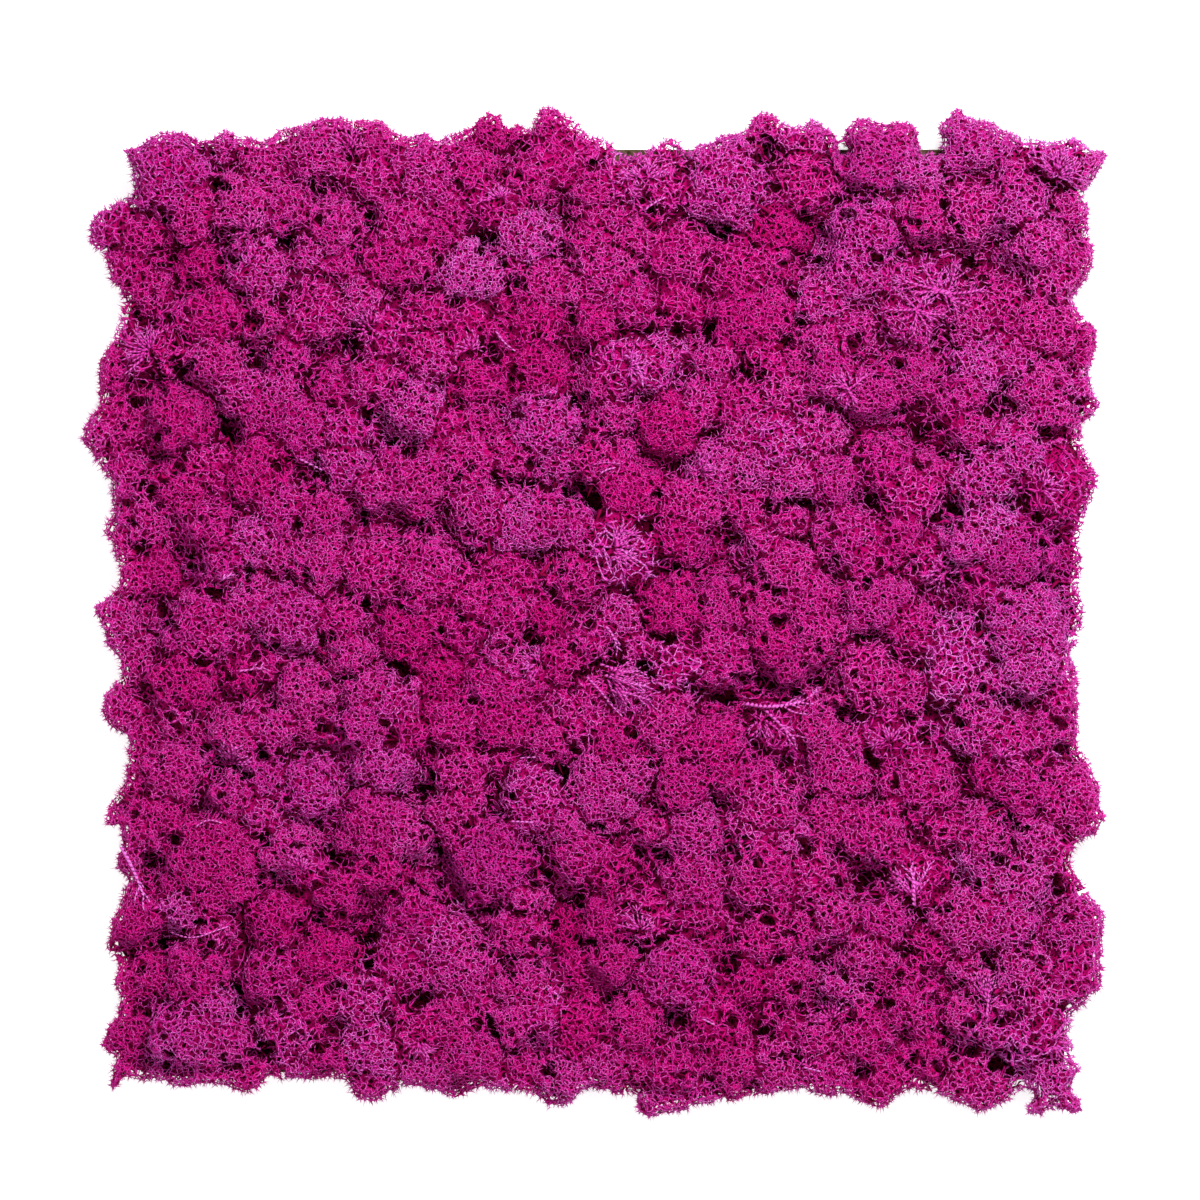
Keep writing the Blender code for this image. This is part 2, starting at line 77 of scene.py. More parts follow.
# ------------------------------------------- the layout, in 0.54 mm steps
# the moss's outline, clockwise from the upper left
OUTLINE = [
    (127, 165), (125, 150), (150, 138), (165, 134), (178, 131), (195, 135), (210, 138),
    (223, 129), (240, 138), (262, 140), (290, 126), (315, 120), (340, 117), (365, 121),
    (385, 121), (400, 135), (412, 138), (424, 130), (440, 137.5), (448, 136), (454, 134.5),
    (461.5, 128), (468, 128), (475, 120.5), (481, 116), (484.5, 112.5), (492, 110),
    (499, 110.5), (503.5, 114.5), (504, 119.5), (506.5, 124), (512.5, 126.5), (518, 122.5),
    (526, 124), (531.5, 125), (533.5, 119), (533, 114.5), (535.5, 110), (540.5, 107),
    (547, 105.5), (554, 108), (560, 111), (563, 115.5), (569, 118), (576, 123),
    (581, 128.5), (589.5, 133), (597, 134.5), (604, 138), (612, 141), (615.5, 149),
    (623, 153.5), (632, 154.5), (640, 150), (650, 148.5), (659, 144), (664, 138),
    (673, 138), (681, 141.5), (685.5, 149), (692, 147.5), (699, 143.5), (706.5, 141.5),
    (716, 141), (721.5, 135), (731, 132.5), (740, 129.5), (749, 126.5), (751, 121),
    (754.5, 114.5), (760, 110.5), (768, 112.5), (778, 117), (785, 121), (794, 124),
    (803, 124.5), (810.5, 120), (818, 120.5), (829, 126.5), (833.5, 134), (835.5, 143),
    (834.5, 150), (838, 154.5), (843.5, 153), (846, 148), (843.5, 137), (846.5, 130.5),
    (855, 121), (869, 118.5), (877, 121.5), (887, 123.5), (896.5, 120.5), (907, 121.5),
    (915, 125.5), (917.5, 133), (919, 146), (922, 154), (927, 152.5), (930, 148),
    (934, 153.5), (938.5, 149), (942, 142), (940, 133), (940, 127), (944, 119.5),
    (949.5, 113.5), (956.5, 108.5), (980, 118), (1005, 130), (1025, 138), (1045, 139),
    (1075, 139), (1108, 154), (1095, 180), (1085, 196), (1090, 220), (1096, 250),
    (1088, 278), (1076, 297), (1082, 312), (1096, 330), (1100, 348), (1090, 372),
    (1098, 392), (1101, 405), (1088, 420), (1080, 440), (1092, 460), (1100, 480),
    (1092, 500), (1083, 520), (1083, 560), (1080, 590), (1086, 618), (1078, 640),
    (1072, 655), (1078, 680), (1080, 705), (1076, 740), (1092, 765), (1102, 790),
    (1106, 818), (1092, 838), (1072, 852), (1078, 875), (1088, 893), (1102, 905),
    (1106, 930), (1102, 965), (1102, 990), (1086, 1003), (1072, 1014), (1071, 1030),
    (1072, 1048), (1073, 1062), (1083, 1071), (1078, 1078), (1073, 1086), (1074, 1096),
    (1082, 1101), (1081, 1111), (1072, 1114), (1062, 1109), (1054, 1104), (1050, 1112),
    (1042, 1118), (1031, 1115), (1027, 1107), (1033, 1099), (1034, 1090), (1024, 1088),
    (1014, 1092), (1010, 1101), (1000, 1109), (985, 1113), (972, 1110), (958, 1105),
    (940, 1096), (915, 1088), (900, 1098), (885, 1108), (860, 1106), (845, 1096),
    (800, 1092), (760, 1098), (720, 1103), (690, 1108), (650, 1116), (640, 1112),
    (636, 1096), (612, 1094), (590, 1085), (575, 1100), (560, 1110), (545, 1103),
    (530, 1096), (500, 1092), (480, 1088), (465, 1096), (455, 1102), (440, 1096),
    (420, 1090), (400, 1088), (385, 1096), (370, 1102), (355, 1098), (345, 1085),
    (330, 1077), (310, 1080), (290, 1077), (268, 1078), (258, 1092), (250, 1095),
    (225, 1087), (200, 1086), (170, 1086), (140, 1080), (122, 1080), (112, 1092),
    (108, 1086), (113, 1060), (98, 1045), (105, 1035), (116, 1020), (118, 1000), (114, 985),
    (118, 965), (106, 945), (110, 930), (118, 905), (130, 880), (115, 868), (116, 855),
    (120, 840), (118, 826), (106, 824), (106, 810), (112, 798), (126, 775), (127, 745),
    (124, 735), (110, 725), (100, 710), (103, 695), (120, 675), (116, 660), (102, 630),
    (94, 605), (106, 598), (120, 585), (116, 565), (112, 545), (104, 535), (110, 510),
    (110, 480), (95, 460), (82, 440), (84, 428), (100, 400), (97, 370), (104, 352),
    (116, 325), (122, 295), (110, 285), (100, 255), (88, 240), (86, 228), (96, 210),
    (118, 198), (133, 198), (131, 180),
]

# the middle of each tuft
TUFTS = [
    (166, 176), (286, 172), (404, 172), (524, 176), (640, 186), (742, 184),
    (868, 168), (1002, 166),
    (150, 290), (292, 290), (440, 284), (590, 282), (734, 296), (880, 280),
    (1034, 268),
    (126, 410), (258, 400), (384, 394), (510, 398), (650, 384), (788, 412),
    (916, 392), (1034, 388),
    (160, 508), (290, 496), (430, 500), (585, 512), (725, 500), (862, 506),
    (1012, 512),
    (136, 628), (260, 616), (394, 612), (544, 628), (692, 628), (832, 622),
    (968, 622),
    (186, 738), (340, 730), (486, 716), (610, 744), (724, 752), (862, 736),
    (1014, 728),
    (184, 850), (340, 840), (480, 846), (598, 850), (716, 864), (856, 852),
    (984, 858),
    (178, 1006), (318, 984), (446, 990), (580, 1004), (700, 1012),
    (850, 1000), (1010, 1016),
]
DEEP_TUFTS = {9, 11, 13, 16, 19, 24, 31, 34, 38, 45, 52, 55, 56, 57}

# every branching head: x, y, radius, level
HEADS = [
    (164, 173, 36, 4), (176, 141, 16, 2), (224, 139, 16, 3),
    (262, 158, 26, 3), (246, 205, 27, 4), (284, 205, 20, 4),
    (316, 152, 26, 4), (337, 133, 20, 4), (378, 136, 23, 4),
    (374, 177, 24, 3), (428, 172, 32, 4), (334, 227, 24, 4),
    (191, 213, 25, 3), (109, 221, 21, 3), (138, 236, 18, 3),
    (125, 268, 20, 3), (200, 262, 19, 2), (259, 268, 28, 4),
    (310, 255, 18, 3), (341, 260, 18, 3), (388, 262, 25, 4),
    (420, 262, 17, 4), (402, 222, 24, 4), (436, 230, 20, 3),
    (214, 320, 27, 4), (181, 322, 14, 3), (264, 318, 16, 4),
    (315, 312, 30, 4), (387, 332, 22, 4), (362, 300, 18, 4),
    (139, 354, 20, 3), (106, 368, 20, 4), (213, 358, 24, 4),
    (239, 385, 22, 3), (289, 357, 20, 3), (330, 388, 20, 3),
    (372, 381, 24, 4), (425, 352, 21, 3), (414, 409, 24, 4),
    (300, 425, 27, 4), (264, 410, 24, 3), (345, 433, 20, 4),
    (178, 418, 26, 4), (122, 422, 27, 3), (93, 436, 16, 4),
    (150, 290, 18, 2), (165, 235, 12, 1), (280, 390, 18, 3),
    (170, 350, 18, 3),

    (468, 170, 20, 4), (493, 131, 19, 3), (490, 204, 22, 4),
    (546, 122, 16, 4), (554, 162, 24, 4), (530, 182, 20, 4),
    (578, 150, 22, 3), (624, 176, 28, 4), (593, 188, 18, 4),
    (602, 212, 25, 3), (663, 188, 22, 4), (729, 184, 38, 5),
    (762, 130, 18, 3), (524, 236, 28, 4), (452, 210, 22, 3),
    (471, 271, 26, 4), (591, 236, 20, 3), (604, 270, 26, 4),
    (641, 236, 22, 4), (677, 252, 28, 4), (543, 285, 28, 3),
    (514, 258, 18, 3), (635, 304, 22, 4), (596, 324, 18, 4),
    (742, 268, 30, 3), (740, 323, 28, 4), (679, 304, 20, 3),
    (470, 320, 18, 3), (494, 333, 14, 3), (432, 312, 22, 3),
    (438, 357, 22, 3), (536, 322, 24, 3), (538, 368, 28, 3),
    (622, 366, 30, 5), (656, 362, 24, 4), (715, 362, 18, 4),
    (768, 359, 16, 4), (474, 382, 20, 3), (543, 425, 30, 5),
    (616, 413, 22, 3), (671, 424, 28, 4), (702, 404, 22, 4),
    (738, 403, 24, 4), (748, 432, 26, 4), (480, 430, 22, 3),
    (447, 428, 22, 3), (602, 386, 14, 4), (508, 300, 14, 2),
    (575, 290, 14, 3), (458, 345, 14, 3), (500, 385, 14, 2),

    (803, 135, 24, 4), (803, 183, 28, 4), (869, 155, 32, 5),
    (902, 142, 20, 4), (917, 168, 22, 4), (972, 136, 34, 5),
    (869, 233, 29, 5), (922, 215, 22, 4), (972, 212, 26, 4),
    (1019, 184, 22, 4), (1018, 208, 20, 5), (1040, 243, 22, 5),
    (1056, 157, 24, 4), (1086, 168, 20, 4), (1076, 207, 20, 3),
    (1061, 263, 25, 4), (1052, 285, 16, 4), (858, 272, 27, 5),
    (820, 301, 26, 4), (772, 262, 18, 3), (778, 232, 22, 3),
    (900, 284, 22, 4), (928, 284, 20, 4), (911, 317, 26, 5),
    (972, 312, 27, 3), (1003, 300, 20, 3), (1044, 324, 30, 4),
    (1084, 347, 20, 4), (852, 330, 20, 4), (822, 340, 20, 4),
    (768, 316, 24, 4), (790, 350, 18, 3), (833, 372, 25, 4),
    (869, 391, 24, 4), (914, 370, 25, 3), (978, 368, 26, 4),
    (961, 393, 18, 5), (990, 345, 14, 3), (1044, 391, 27, 4),
    (1086, 384, 18, 4), (1090, 403, 14, 2), (1050, 416, 20, 4),
    (780, 392, 20, 4), (955, 410, 20, 4), (976, 431, 20, 4),
    (1020, 442, 26, 4), (1020, 360, 18, 4),

    (123, 477, 22, 4), (181, 486, 25, 3), (214, 467, 24, 3),
    (259, 473, 31, 4), (281, 510, 25, 4), (345, 466, 22, 4),
    (412, 480, 30, 4), (375, 486, 18, 4), (320, 510, 24, 4),
    (321, 562, 27, 4), (370, 568, 28, 5), (427, 573, 32, 5),
    (213, 527, 18, 5), (249, 540, 24, 4), (222, 559, 19, 4),
    (276, 556, 17, 3), (146, 524, 22, 3), (157, 572, 22, 2),
    (126, 545, 15, 3), (130, 578, 17, 3), (114, 619, 22, 3),
    (207, 627, 36, 4), (254, 606, 24, 4), (289, 619, 28, 5),
    (340, 620, 22, 4), (348, 652, 18, 4), (409, 630, 28, 3),
    (242, 677, 13, 3), (266, 664, 15, 3), (184, 682, 26, 4),
    (136, 660, 22, 2), (115, 712, 24, 4), (176, 707, 18, 3),
    (304, 690, 26, 4), (366, 688, 16, 4), (395, 700, 25, 4),
    (237, 735, 20, 4), (269, 728, 24, 4), (310, 720, 22, 3),
    (360, 727, 22, 4), (384, 763, 25, 4), (173, 772, 27, 4),
    (264, 778, 21, 4), (309, 791, 24, 5), (136, 776, 18, 3),
    (150, 735, 20, 2), (205, 745, 18, 2), (405, 735, 18, 4),

    (238, 795, 20, 4), (261, 817, 18, 4), (160, 812, 24, 3),
    (137, 831, 18, 4), (220, 864, 50, 4), (287, 850, 22, 5),
    (311, 874, 16, 4), (337, 892, 20, 4), (375, 824, 31, 4),
    (405, 833, 20, 4), (380, 870, 20, 4), (125, 866, 13, 4),
    (137, 914, 23, 4), (181, 908, 18, 3), (214, 931, 15, 4),
    (275, 918, 25, 4), (198, 974, 28, 4), (156, 976, 22, 2),
    (269, 975, 26, 4), (325, 960, 28, 3), (406, 960, 33, 3),
    (414, 909, 24, 4), (360, 999, 26, 4), (212, 1009, 20, 4),
    (181, 1034, 26, 5), (223, 1042, 22, 4), (128, 1031, 25, 3),
    (288, 1028, 28, 4), (314, 1006, 20, 4), (330, 1064, 20, 4),
    (373, 1052, 26, 4), (375, 1082, 20, 4), (420, 1031, 26, 4),
    (250, 1074, 24, 3), (172, 1070, 20, 2), (212, 1075, 20, 3),
    (115, 1074, 13, 4), (300, 1070, 16, 3), (118, 985, 18, 3),
    (420, 1070, 18, 4),

    (471, 462, 28, 4), (510, 456, 24, 4), (604, 459, 25, 4),
    (629, 492, 28, 4), (556, 454, 22, 3), (483, 511, 31, 4),
    (521, 520, 31, 4), (551, 514, 22, 4), (621, 550, 36, 5),
    (587, 533, 24, 4), (693, 503, 30, 4), (680, 536, 24, 4),
    (718, 466, 26, 4), (756, 462, 26, 4), (745, 506, 20, 3),
    (578, 575, 26, 4), (506, 577, 27, 3), (474, 598, 20, 4),
    (505, 612, 24, 4), (543, 619, 20, 3), (673, 607, 28, 4),
    (719, 606, 25, 4), (721, 656, 28, 4), (762, 608, 24, 4),
    (617, 620, 24, 3), (590, 640, 18, 4), (463, 636, 15, 4),
    (440, 622, 20, 3), (440, 676, 28, 3), (499, 686, 33, 5),
    (507, 662, 22, 5), (502, 718, 28, 5), (560, 666, 21, 4),
    (530, 682, 20, 4), (577, 715, 30, 4), (546, 735, 22, 4),
    (635, 690, 22, 4), (674, 668, 22, 5), (666, 723, 28, 4),
    (615, 738, 24, 4), (712, 748, 30, 5), (638, 774, 18, 4),
    (604, 787, 36, 4), (683, 781, 27, 5), (463, 773, 24, 4),
    (535, 790, 27, 4), (480, 742, 18, 3), (500, 755, 14, 3),
    (750, 780, 28, 4), (591, 690, 14, 4), (455, 725, 24, 4),
    (640, 650, 16, 3),

    (778, 440, 24, 5), (792, 477, 22, 4), (817, 434, 24, 4),
    (836, 478, 23, 4), (878, 463, 24, 4), (842, 536, 27, 5),
    (787, 570, 28, 5), (786, 522, 13, 4), (812, 598, 24, 4),
    (867, 558, 22, 4), (914, 495, 26, 4), (900, 538, 20, 4),
    (935, 478, 20, 3), (981, 477, 25, 5), (1013, 452, 25, 5),
    (1060, 486, 34, 5), (1014, 552, 30, 4), (985, 528, 25, 4),
    (965, 543, 18, 5), (926, 562, 20, 3), (978, 582, 18, 3),
    (875, 598, 28, 4), (910, 624, 25, 3), (816, 634, 24, 4),
    (775, 640, 18, 4), (1022, 628, 37, 4), (958, 646, 28, 4),
    (950, 676, 20, 5), (1032, 666, 29, 4), (870, 676, 28, 4),
    (792, 660, 18, 3), (982, 692, 18, 4), (907, 692, 22, 3),
    (820, 725, 27, 3), (886, 735, 20, 4), (908, 738, 16, 4),
    (778, 732, 15, 5), (858, 745, 16, 3), (980, 725, 25, 4),
    (1012, 742, 25, 4), (1064, 702, 18, 4), (1052, 732, 20, 3),
    (842, 774, 30, 3), (920, 782, 33, 4), (990, 772, 19, 3),
    (1022, 784, 28, 4), (1078, 800, 33, 4), (765, 545, 16, 4),

    (457, 815, 25, 4), (535, 808, 26, 4), (565, 828, 14, 5),
    (648, 828, 13, 4), (693, 831, 27, 4), (492, 863, 36, 4),
    (577, 854, 26, 4), (615, 871, 22, 3), (640, 912, 25, 4),
    (696, 879, 28, 4), (703, 912, 22, 3), (757, 830, 22, 4),
    (764, 874, 32, 5), (519, 932, 26, 4), (525, 902, 13, 4),
    (560, 930, 18, 2), (610, 925, 25, 3), (654, 922, 22, 4),
    (679, 975, 33, 5), (463, 965, 30, 4), (441, 938, 24, 4),
    (430, 975, 20, 3), (521, 986, 28, 4), (541, 1003, 22, 4),
    (576, 968, 21, 2), (615, 963, 17, 4), (632, 1023, 27, 4),
    (577, 1027, 28, 3), (480, 1000, 24, 3), (450, 1022, 22, 4),
    (473, 1050, 28, 4), (440, 1065, 22, 3), (514, 1022, 18, 5),
    (541, 1018, 16, 5), (715, 1022, 26, 4), (668, 1066, 24, 4),
    (610, 1060, 24, 3), (570, 1075, 24, 3), (640, 1062, 20, 3),
    (521, 1068, 20, 3), (763, 937, 27, 4), (752, 978, 25, 3),
    (729, 1058, 28, 3), (690, 1092, 24, 3), (662, 1101, 18, 3),
    (712, 943, 20, 2), (500, 1075, 20, 3),

    (767, 805, 30, 5), (790, 835, 18, 4), (830, 821, 27, 3),
    (878, 834, 28, 4), (811, 877, 28, 4), (919, 875, 28, 4),
    (986, 838, 20, 5), (980, 858, 18, 4), (966, 918, 31, 5),
    (834, 917, 21, 4), (886, 920, 20, 5), (868, 955, 23, 4),
    (1008, 926, 24, 5), (1020, 882, 26, 4), (1035, 840, 20, 4),
    (1081, 926, 28, 4), (1076, 974, 28, 5), (1022, 968, 26, 4),
    (970, 966, 22, 3), (911, 1004, 25, 5), (850, 985, 20, 3),
    (782, 978, 22, 3), (805, 930, 18, 3), (992, 1024, 20, 5),
    (1018, 1040, 20, 4), (1051, 1035, 20, 5), (1040, 1003, 17, 4),
    (962, 1014, 16, 3), (864, 1032, 26, 4), (820, 1040, 22, 3),
    (780, 1064, 26, 3), (830, 1076, 22, 4), (890, 1082, 25, 4),
    (975, 1080, 30, 4), (1052, 1080, 22, 4), (1040, 1106, 9, 5),
    (1074, 1100, 9, 5), (925, 1052, 20, 3), (780, 1020, 20, 2),
    (1066, 862, 14, 4), (930, 945, 22, 3), (890, 975, 18, 3),
    (940, 830, 16, 3),
]

# the gaps and crevices between heads: x, y, half widths, turn in degrees
HOLES = [
    (217, 188, 8, 8, 0), (171, 258, 7, 13, 10), (187, 289, 7, 7, 0), (187, 309, 6, 6, 0),
    (249, 325, 6, 14, -10), (164, 220, 8, 9, 0), (146, 223, 7, 4, 0), (287, 240, 13, 8, 15),
    (313, 222, 5, 9, 0), (320, 188, 5, 9, -20), (372, 219, 8, 7, 30), (358, 229, 4, 6, 0),
    (421, 288, 7, 5, 0), (410, 331, 6, 7, 0), (308, 375, 7, 6, 0), (330, 364, 5, 6, 0),
    (348, 348, 6, 4, 0), (309, 279, 6, 5, 0), (285, 305, 5, 9, 0), (154, 298, 6, 12, -25),
    (166, 322, 4, 8, -10), (135, 316, 4, 6, 0), (121, 343, 8, 9, 0), (159, 383, 5, 6, 0),
    (140, 398, 9, 6, 0), (183, 370, 5, 9, 0), (177, 340, 5, 5, 0), (256, 360, 9, 5, 20),
    (395, 385, 9, 4, -30), (431, 390, 6, 5, 0), (231, 434, 8, 15, -10),
    (205, 433, 11, 5, 0), (155, 435, 9, 7, 0), (390, 440, 10, 4, 20), (418, 450, 8, 5, 0),
    (368, 415, 5, 9, 0), (375, 404, 8, 4, 0), (335, 402, 8, 4, 0), (352, 252, 5, 5, 0),
    (438, 262, 5, 8, 0), (240, 232, 10, 5, 10), (225, 262, 6, 8, 0), (495, 168, 9, 6, 0),
    (516, 170, 8, 8, 0), (520, 150, 6, 7, 0), (453, 160, 8, 6, 0), (458, 180, 5, 7, 0),
    (483, 242, 8, 8, 0), (558, 236, 6, 14, 0), (572, 234, 6, 5, 0), (580, 258, 8, 6, 0),
    (516, 286, 12, 6, 0), (505, 266, 4, 9, -30), (457, 300, 6, 6, 0),
    (574, 319, 7, 10, -10), (583, 356, 8, 7, 0), (615, 330, 6, 4, 0), (645, 332, 9, 4, 0),
    (683, 336, 8, 5, 0), (707, 334, 8, 9, -20), (655, 222, 13, 7, 10), (690, 224, 12, 5, 0),
    (708, 227, 8, 5, 20), (722, 236, 5, 7, -20), (642, 208, 5, 9, -30), (593, 162, 8, 8, 0),
    (685, 176, 7, 6, 0), (768, 150, 5, 12, 0), (771, 186, 6, 13, 0), (768, 216, 7, 12, 0),
    (761, 233, 6, 4, 0), (641, 277, 8, 5, 0), (707, 265, 5, 6, -20), (515, 374, 4, 26, 0),
    (517, 405, 6, 9, 15), (512, 426, 6, 9, -10), (552, 398, 22, 4, 6), (577, 402, 8, 6, 0),
    (593, 418, 7, 10, -25), (610, 437, 11, 5, 15), (634, 424, 9, 4, -35),
    (636, 404, 5, 9, 0), (590, 445, 8, 8, 0), (486, 412, 6, 7, 0), (455, 410, 6, 5, 0),
    (455, 380, 4, 8, 0), (488, 352, 6, 7, 0), (410, 453, 8, 5, 0), (676, 372, 8, 9, 0),
    (742, 371, 10, 4, 0), (762, 379, 7, 6, 0), (592, 344, 5, 8, 0), (658, 318, 4, 10, 0),
    (535, 338, 10, 4, -15), (476, 222, 5, 6, 0), (430, 250, 6, 5, 0), (950, 187, 10, 7, 0),
    (944, 206, 7, 6, 20), (953, 224, 4, 9, 0), (909, 223, 6, 8, 0), (883, 211, 8, 5, 0),
    (862, 197, 6, 5, 0), (843, 166, 6, 13, 0), (845, 205, 6, 8, 0), (825, 173, 10, 4, 15),
    (804, 219, 5, 8, -35), (818, 235, 9, 9, 0), (815, 262, 9, 5, 0), (777, 270, 6, 8, 0),
    (787, 294, 9, 8, 0), (840, 270, 7, 4, 0), (878, 263, 8, 7, 0), (896, 255, 10, 5, -10),
    (925, 250, 8, 4, 0), (982, 279, 7, 11, 0), (971, 260, 5, 8, -20),
    (1026, 283, 7, 10, -30), (1018, 260, 4, 10, -20), (1004, 230, 6, 6, 0),
    (1040, 172, 8, 9, 0), (1043, 207, 5, 8, 0), (1057, 299, 20, 5, 0), (800, 326, 4, 7, 0),
    (785, 345, 9, 5, 0), (808, 358, 8, 6, 0), (893, 367, 9, 7, 0), (877, 373, 8, 4, 0),
    (857, 345, 8, 5, 0), (946, 358, 9, 13, 0), (943, 381, 5, 13, 15), (991, 343, 9, 5, 0),
    (1010, 391, 8, 7, 0), (1026, 371, 7, 4, -40), (1061, 386, 9, 4, 45),
    (995, 406, 8, 7, 0), (805, 411, 8, 5, 0), (829, 413, 7, 9, 0), (858, 443, 8, 6, 0),
    (918, 432, 10, 8, 0), (940, 430, 8, 7, 0), (943, 450, 7, 6, 0), (920, 460, 10, 5, 0),
    (963, 457, 8, 6, 0), (989, 443, 10, 4, -30), (1061, 437, 15, 6, 0), (903, 415, 5, 6, 0),
    (1085, 404, 9, 5, 0), (175, 463, 6, 9, 0), (190, 460, 5, 6, 0), (162, 476, 6, 5, 0),
    (150, 488, 5, 6, 0), (283, 464, 10, 5, 10), (311, 476, 13, 6, 20), (326, 480, 9, 8, 0),
    (430, 527, 11, 6, 5), (133, 525, 8, 9, -40), (165, 510, 6, 6, 0), (195, 520, 5, 9, 0),
    (182, 551, 6, 8, -40), (230, 518, 8, 4, 0), (260, 522, 4, 5, 0), (298, 527, 6, 5, 0),
    (365, 523, 7, 6, 0), (193, 570, 6, 10, 15), (210, 592, 16, 8, 8), (247, 577, 11, 8, 0),
    (295, 558, 4, 7, 0), (308, 583, 10, 6, 0), (163, 612, 6, 18, 0), (174, 640, 6, 9, -40),
    (370, 606, 7, 11, -40), (352, 597, 5, 5, 0), (400, 603, 6, 4, 0), (160, 668, 8, 7, 0),
    (160, 688, 4, 12, 0), (165, 710, 8, 5, 0), (203, 661, 14, 4, 12),
    (228, 680, 5, 10, -30), (236, 691, 8, 5, 0), (255, 685, 8, 7, 0), (250, 662, 8, 4, 0),
    (270, 650, 5, 8, -40), (283, 667, 4, 8, 0), (272, 704, 6, 7, 0), (326, 646, 5, 12, -20),
    (328, 682, 10, 5, 0), (345, 678, 10, 5, 0), (403, 669, 8, 12, 0), (411, 655, 9, 4, 0),
    (386, 665, 8, 4, 0), (328, 730, 15, 5, 25), (345, 746, 5, 8, 0), (205, 725, 5, 8, -30),
    (219, 749, 6, 9, -30), (267, 757, 16, 6, 0), (241, 765, 9, 4, 0), (151, 760, 8, 6, 0),
    (213, 762, 5, 7, 0), (220, 792, 6, 14, 0), (425, 784, 9, 20, 10),
    (390, 737, 4, 14, -35), (417, 740, 5, 9, 0), (145, 470, 6, 5, 0), (140, 545, 6, 8, 0),
    (527, 467, 6, 5, 0), (525, 482, 18, 4, 0), (475, 475, 8, 4, -15), (455, 488, 8, 6, 0),
    (497, 482, 7, 4, 0), (550, 492, 10, 5, -8), (581, 490, 12, 8, 20), (593, 501, 6, 6, 0),
    (720, 481, 10, 5, 10), (745, 482, 5, 4, 0), (775, 505, 7, 5, 0), (675, 476, 10, 4, 35),
    (655, 500, 5, 7, 20), (645, 525, 5, 8, 0), (730, 541, 10, 7, 0), (464, 540, 12, 5, 0),
    (470, 567, 6, 8, 0), (487, 590, 5, 7, 0), (460, 613, 8, 5, 0), (443, 635, 6, 7, 0),
    (465, 632, 6, 4, 0), (533, 572, 6, 10, -30), (545, 590, 10, 7, 0), (558, 577, 7, 5, 0),
    (575, 590, 8, 4, 30), (577, 640, 9, 14, 10), (585, 620, 6, 6, 0), (530, 641, 15, 7, 10),
    (500, 646, 11, 5, 0), (472, 668, 8, 10, 0), (580, 668, 4, 8, 0), (565, 690, 6, 7, 0),
    (644, 664, 7, 6, 0), (652, 580, 5, 18, 18), (641, 598, 7, 7, 0), (645, 615, 6, 9, 0),
    (672, 570, 9, 4, 30), (687, 587, 4, 12, -40), (701, 604, 5, 14, 0), (688, 639, 8, 6, 0),
    (660, 638, 14, 4, 0), (698, 687, 10, 5, 0), (725, 696, 15, 8, 0), (715, 711, 10, 10, 0),
    (745, 688, 9, 7, 0), (760, 682, 7, 7, 0), (633, 729, 8, 7, 0), (475, 705, 5, 9, 0),
    (481, 745, 10, 4, 15), (506, 752, 8, 5, 0), (495, 762, 5, 5, 0), (562, 764, 8, 12, 0),
    (562, 786, 5, 10, -10), (580, 745, 8, 4, 0), (655, 760, 5, 6, 0), (658, 783, 6, 8, 0),
    (685, 755, 13, 4, 0), (709, 774, 5, 9, -10), (715, 798, 6, 13, -55),
    (750, 757, 10, 5, 0), (745, 603, 5, 8, 0), (735, 588, 9, 4, 25), (700, 640, 5, 10, 0),
    (767, 682, 12, 9, 0), (776, 691, 12, 6, 10), (792, 694, 10, 4, 8), (822, 683, 10, 8, 0),
    (848, 712, 7, 9, 0), (831, 708, 8, 4, 0), (868, 708, 5, 5, 0), (903, 655, 6, 12, 0),
    (895, 661, 7, 4, 0), (925, 670, 11, 5, 35), (956, 622, 10, 6, -10),
    (982, 626, 7, 10, -15), (948, 609, 4, 8, 0), (1010, 702, 14, 6, 0), (983, 698, 8, 4, 0),
    (1062, 670, 6, 8, 20), (1068, 720, 8, 5, 0), (1046, 765, 10, 8, 0),
    (1065, 750, 9, 6, 0), (955, 725, 5, 12, -20), (972, 782, 5, 15, -8),
    (907, 720, 10, 5, 0), (927, 735, 7, 12, 0), (868, 757, 8, 7, -20), (890, 775, 5, 12, 0),
    (793, 782, 8, 17, -12), (785, 764, 5, 6, 0), (1034, 530, 8, 18, -20),
    (1012, 503, 9, 6, 30), (1031, 512, 7, 8, 0), (1055, 540, 11, 8, 0),
    (1056, 582, 8, 18, 10), (1045, 558, 8, 12, -20), (873, 506, 8, 12, -10),
    (938, 521, 14, 5, 0), (950, 514, 5, 6, 0), (965, 500, 5, 8, 0), (804, 507, 10, 5, 25),
    (820, 521, 5, 12, -30), (825, 542, 4, 12, -8), (858, 460, 7, 8, 0), (898, 530, 5, 5, 0),
    (885, 541, 6, 5, 0), (832, 563, 8, 4, 15), (860, 582, 5, 7, 0), (878, 568, 5, 4, 0),
    (945, 566, 5, 5, 0), (917, 570, 5, 5, 0), (955, 583, 5, 5, 0), (971, 584, 8, 7, 0),
    (777, 597, 9, 5, 25), (782, 622, 8, 16, 0), (762, 640, 5, 5, 0), (757, 573, 4, 14, -40),
    (845, 637, 5, 5, 0), (857, 642, 8, 4, 20), (818, 656, 10, 4, -25), (850, 674, 5, 6, 0),
    (787, 495, 9, 4, 0), (1000, 600, 6, 4, 0), (262, 843, 7, 8, 0), (268, 878, 8, 8, 0),
    (150, 866, 6, 14, 0), (144, 888, 7, 5, 0), (173, 840, 5, 9, 0), (172, 871, 4, 8, 0),
    (189, 889, 5, 6, 0), (163, 945, 11, 6, 0), (137, 966, 6, 7, 0), (202, 945, 8, 5, 0),
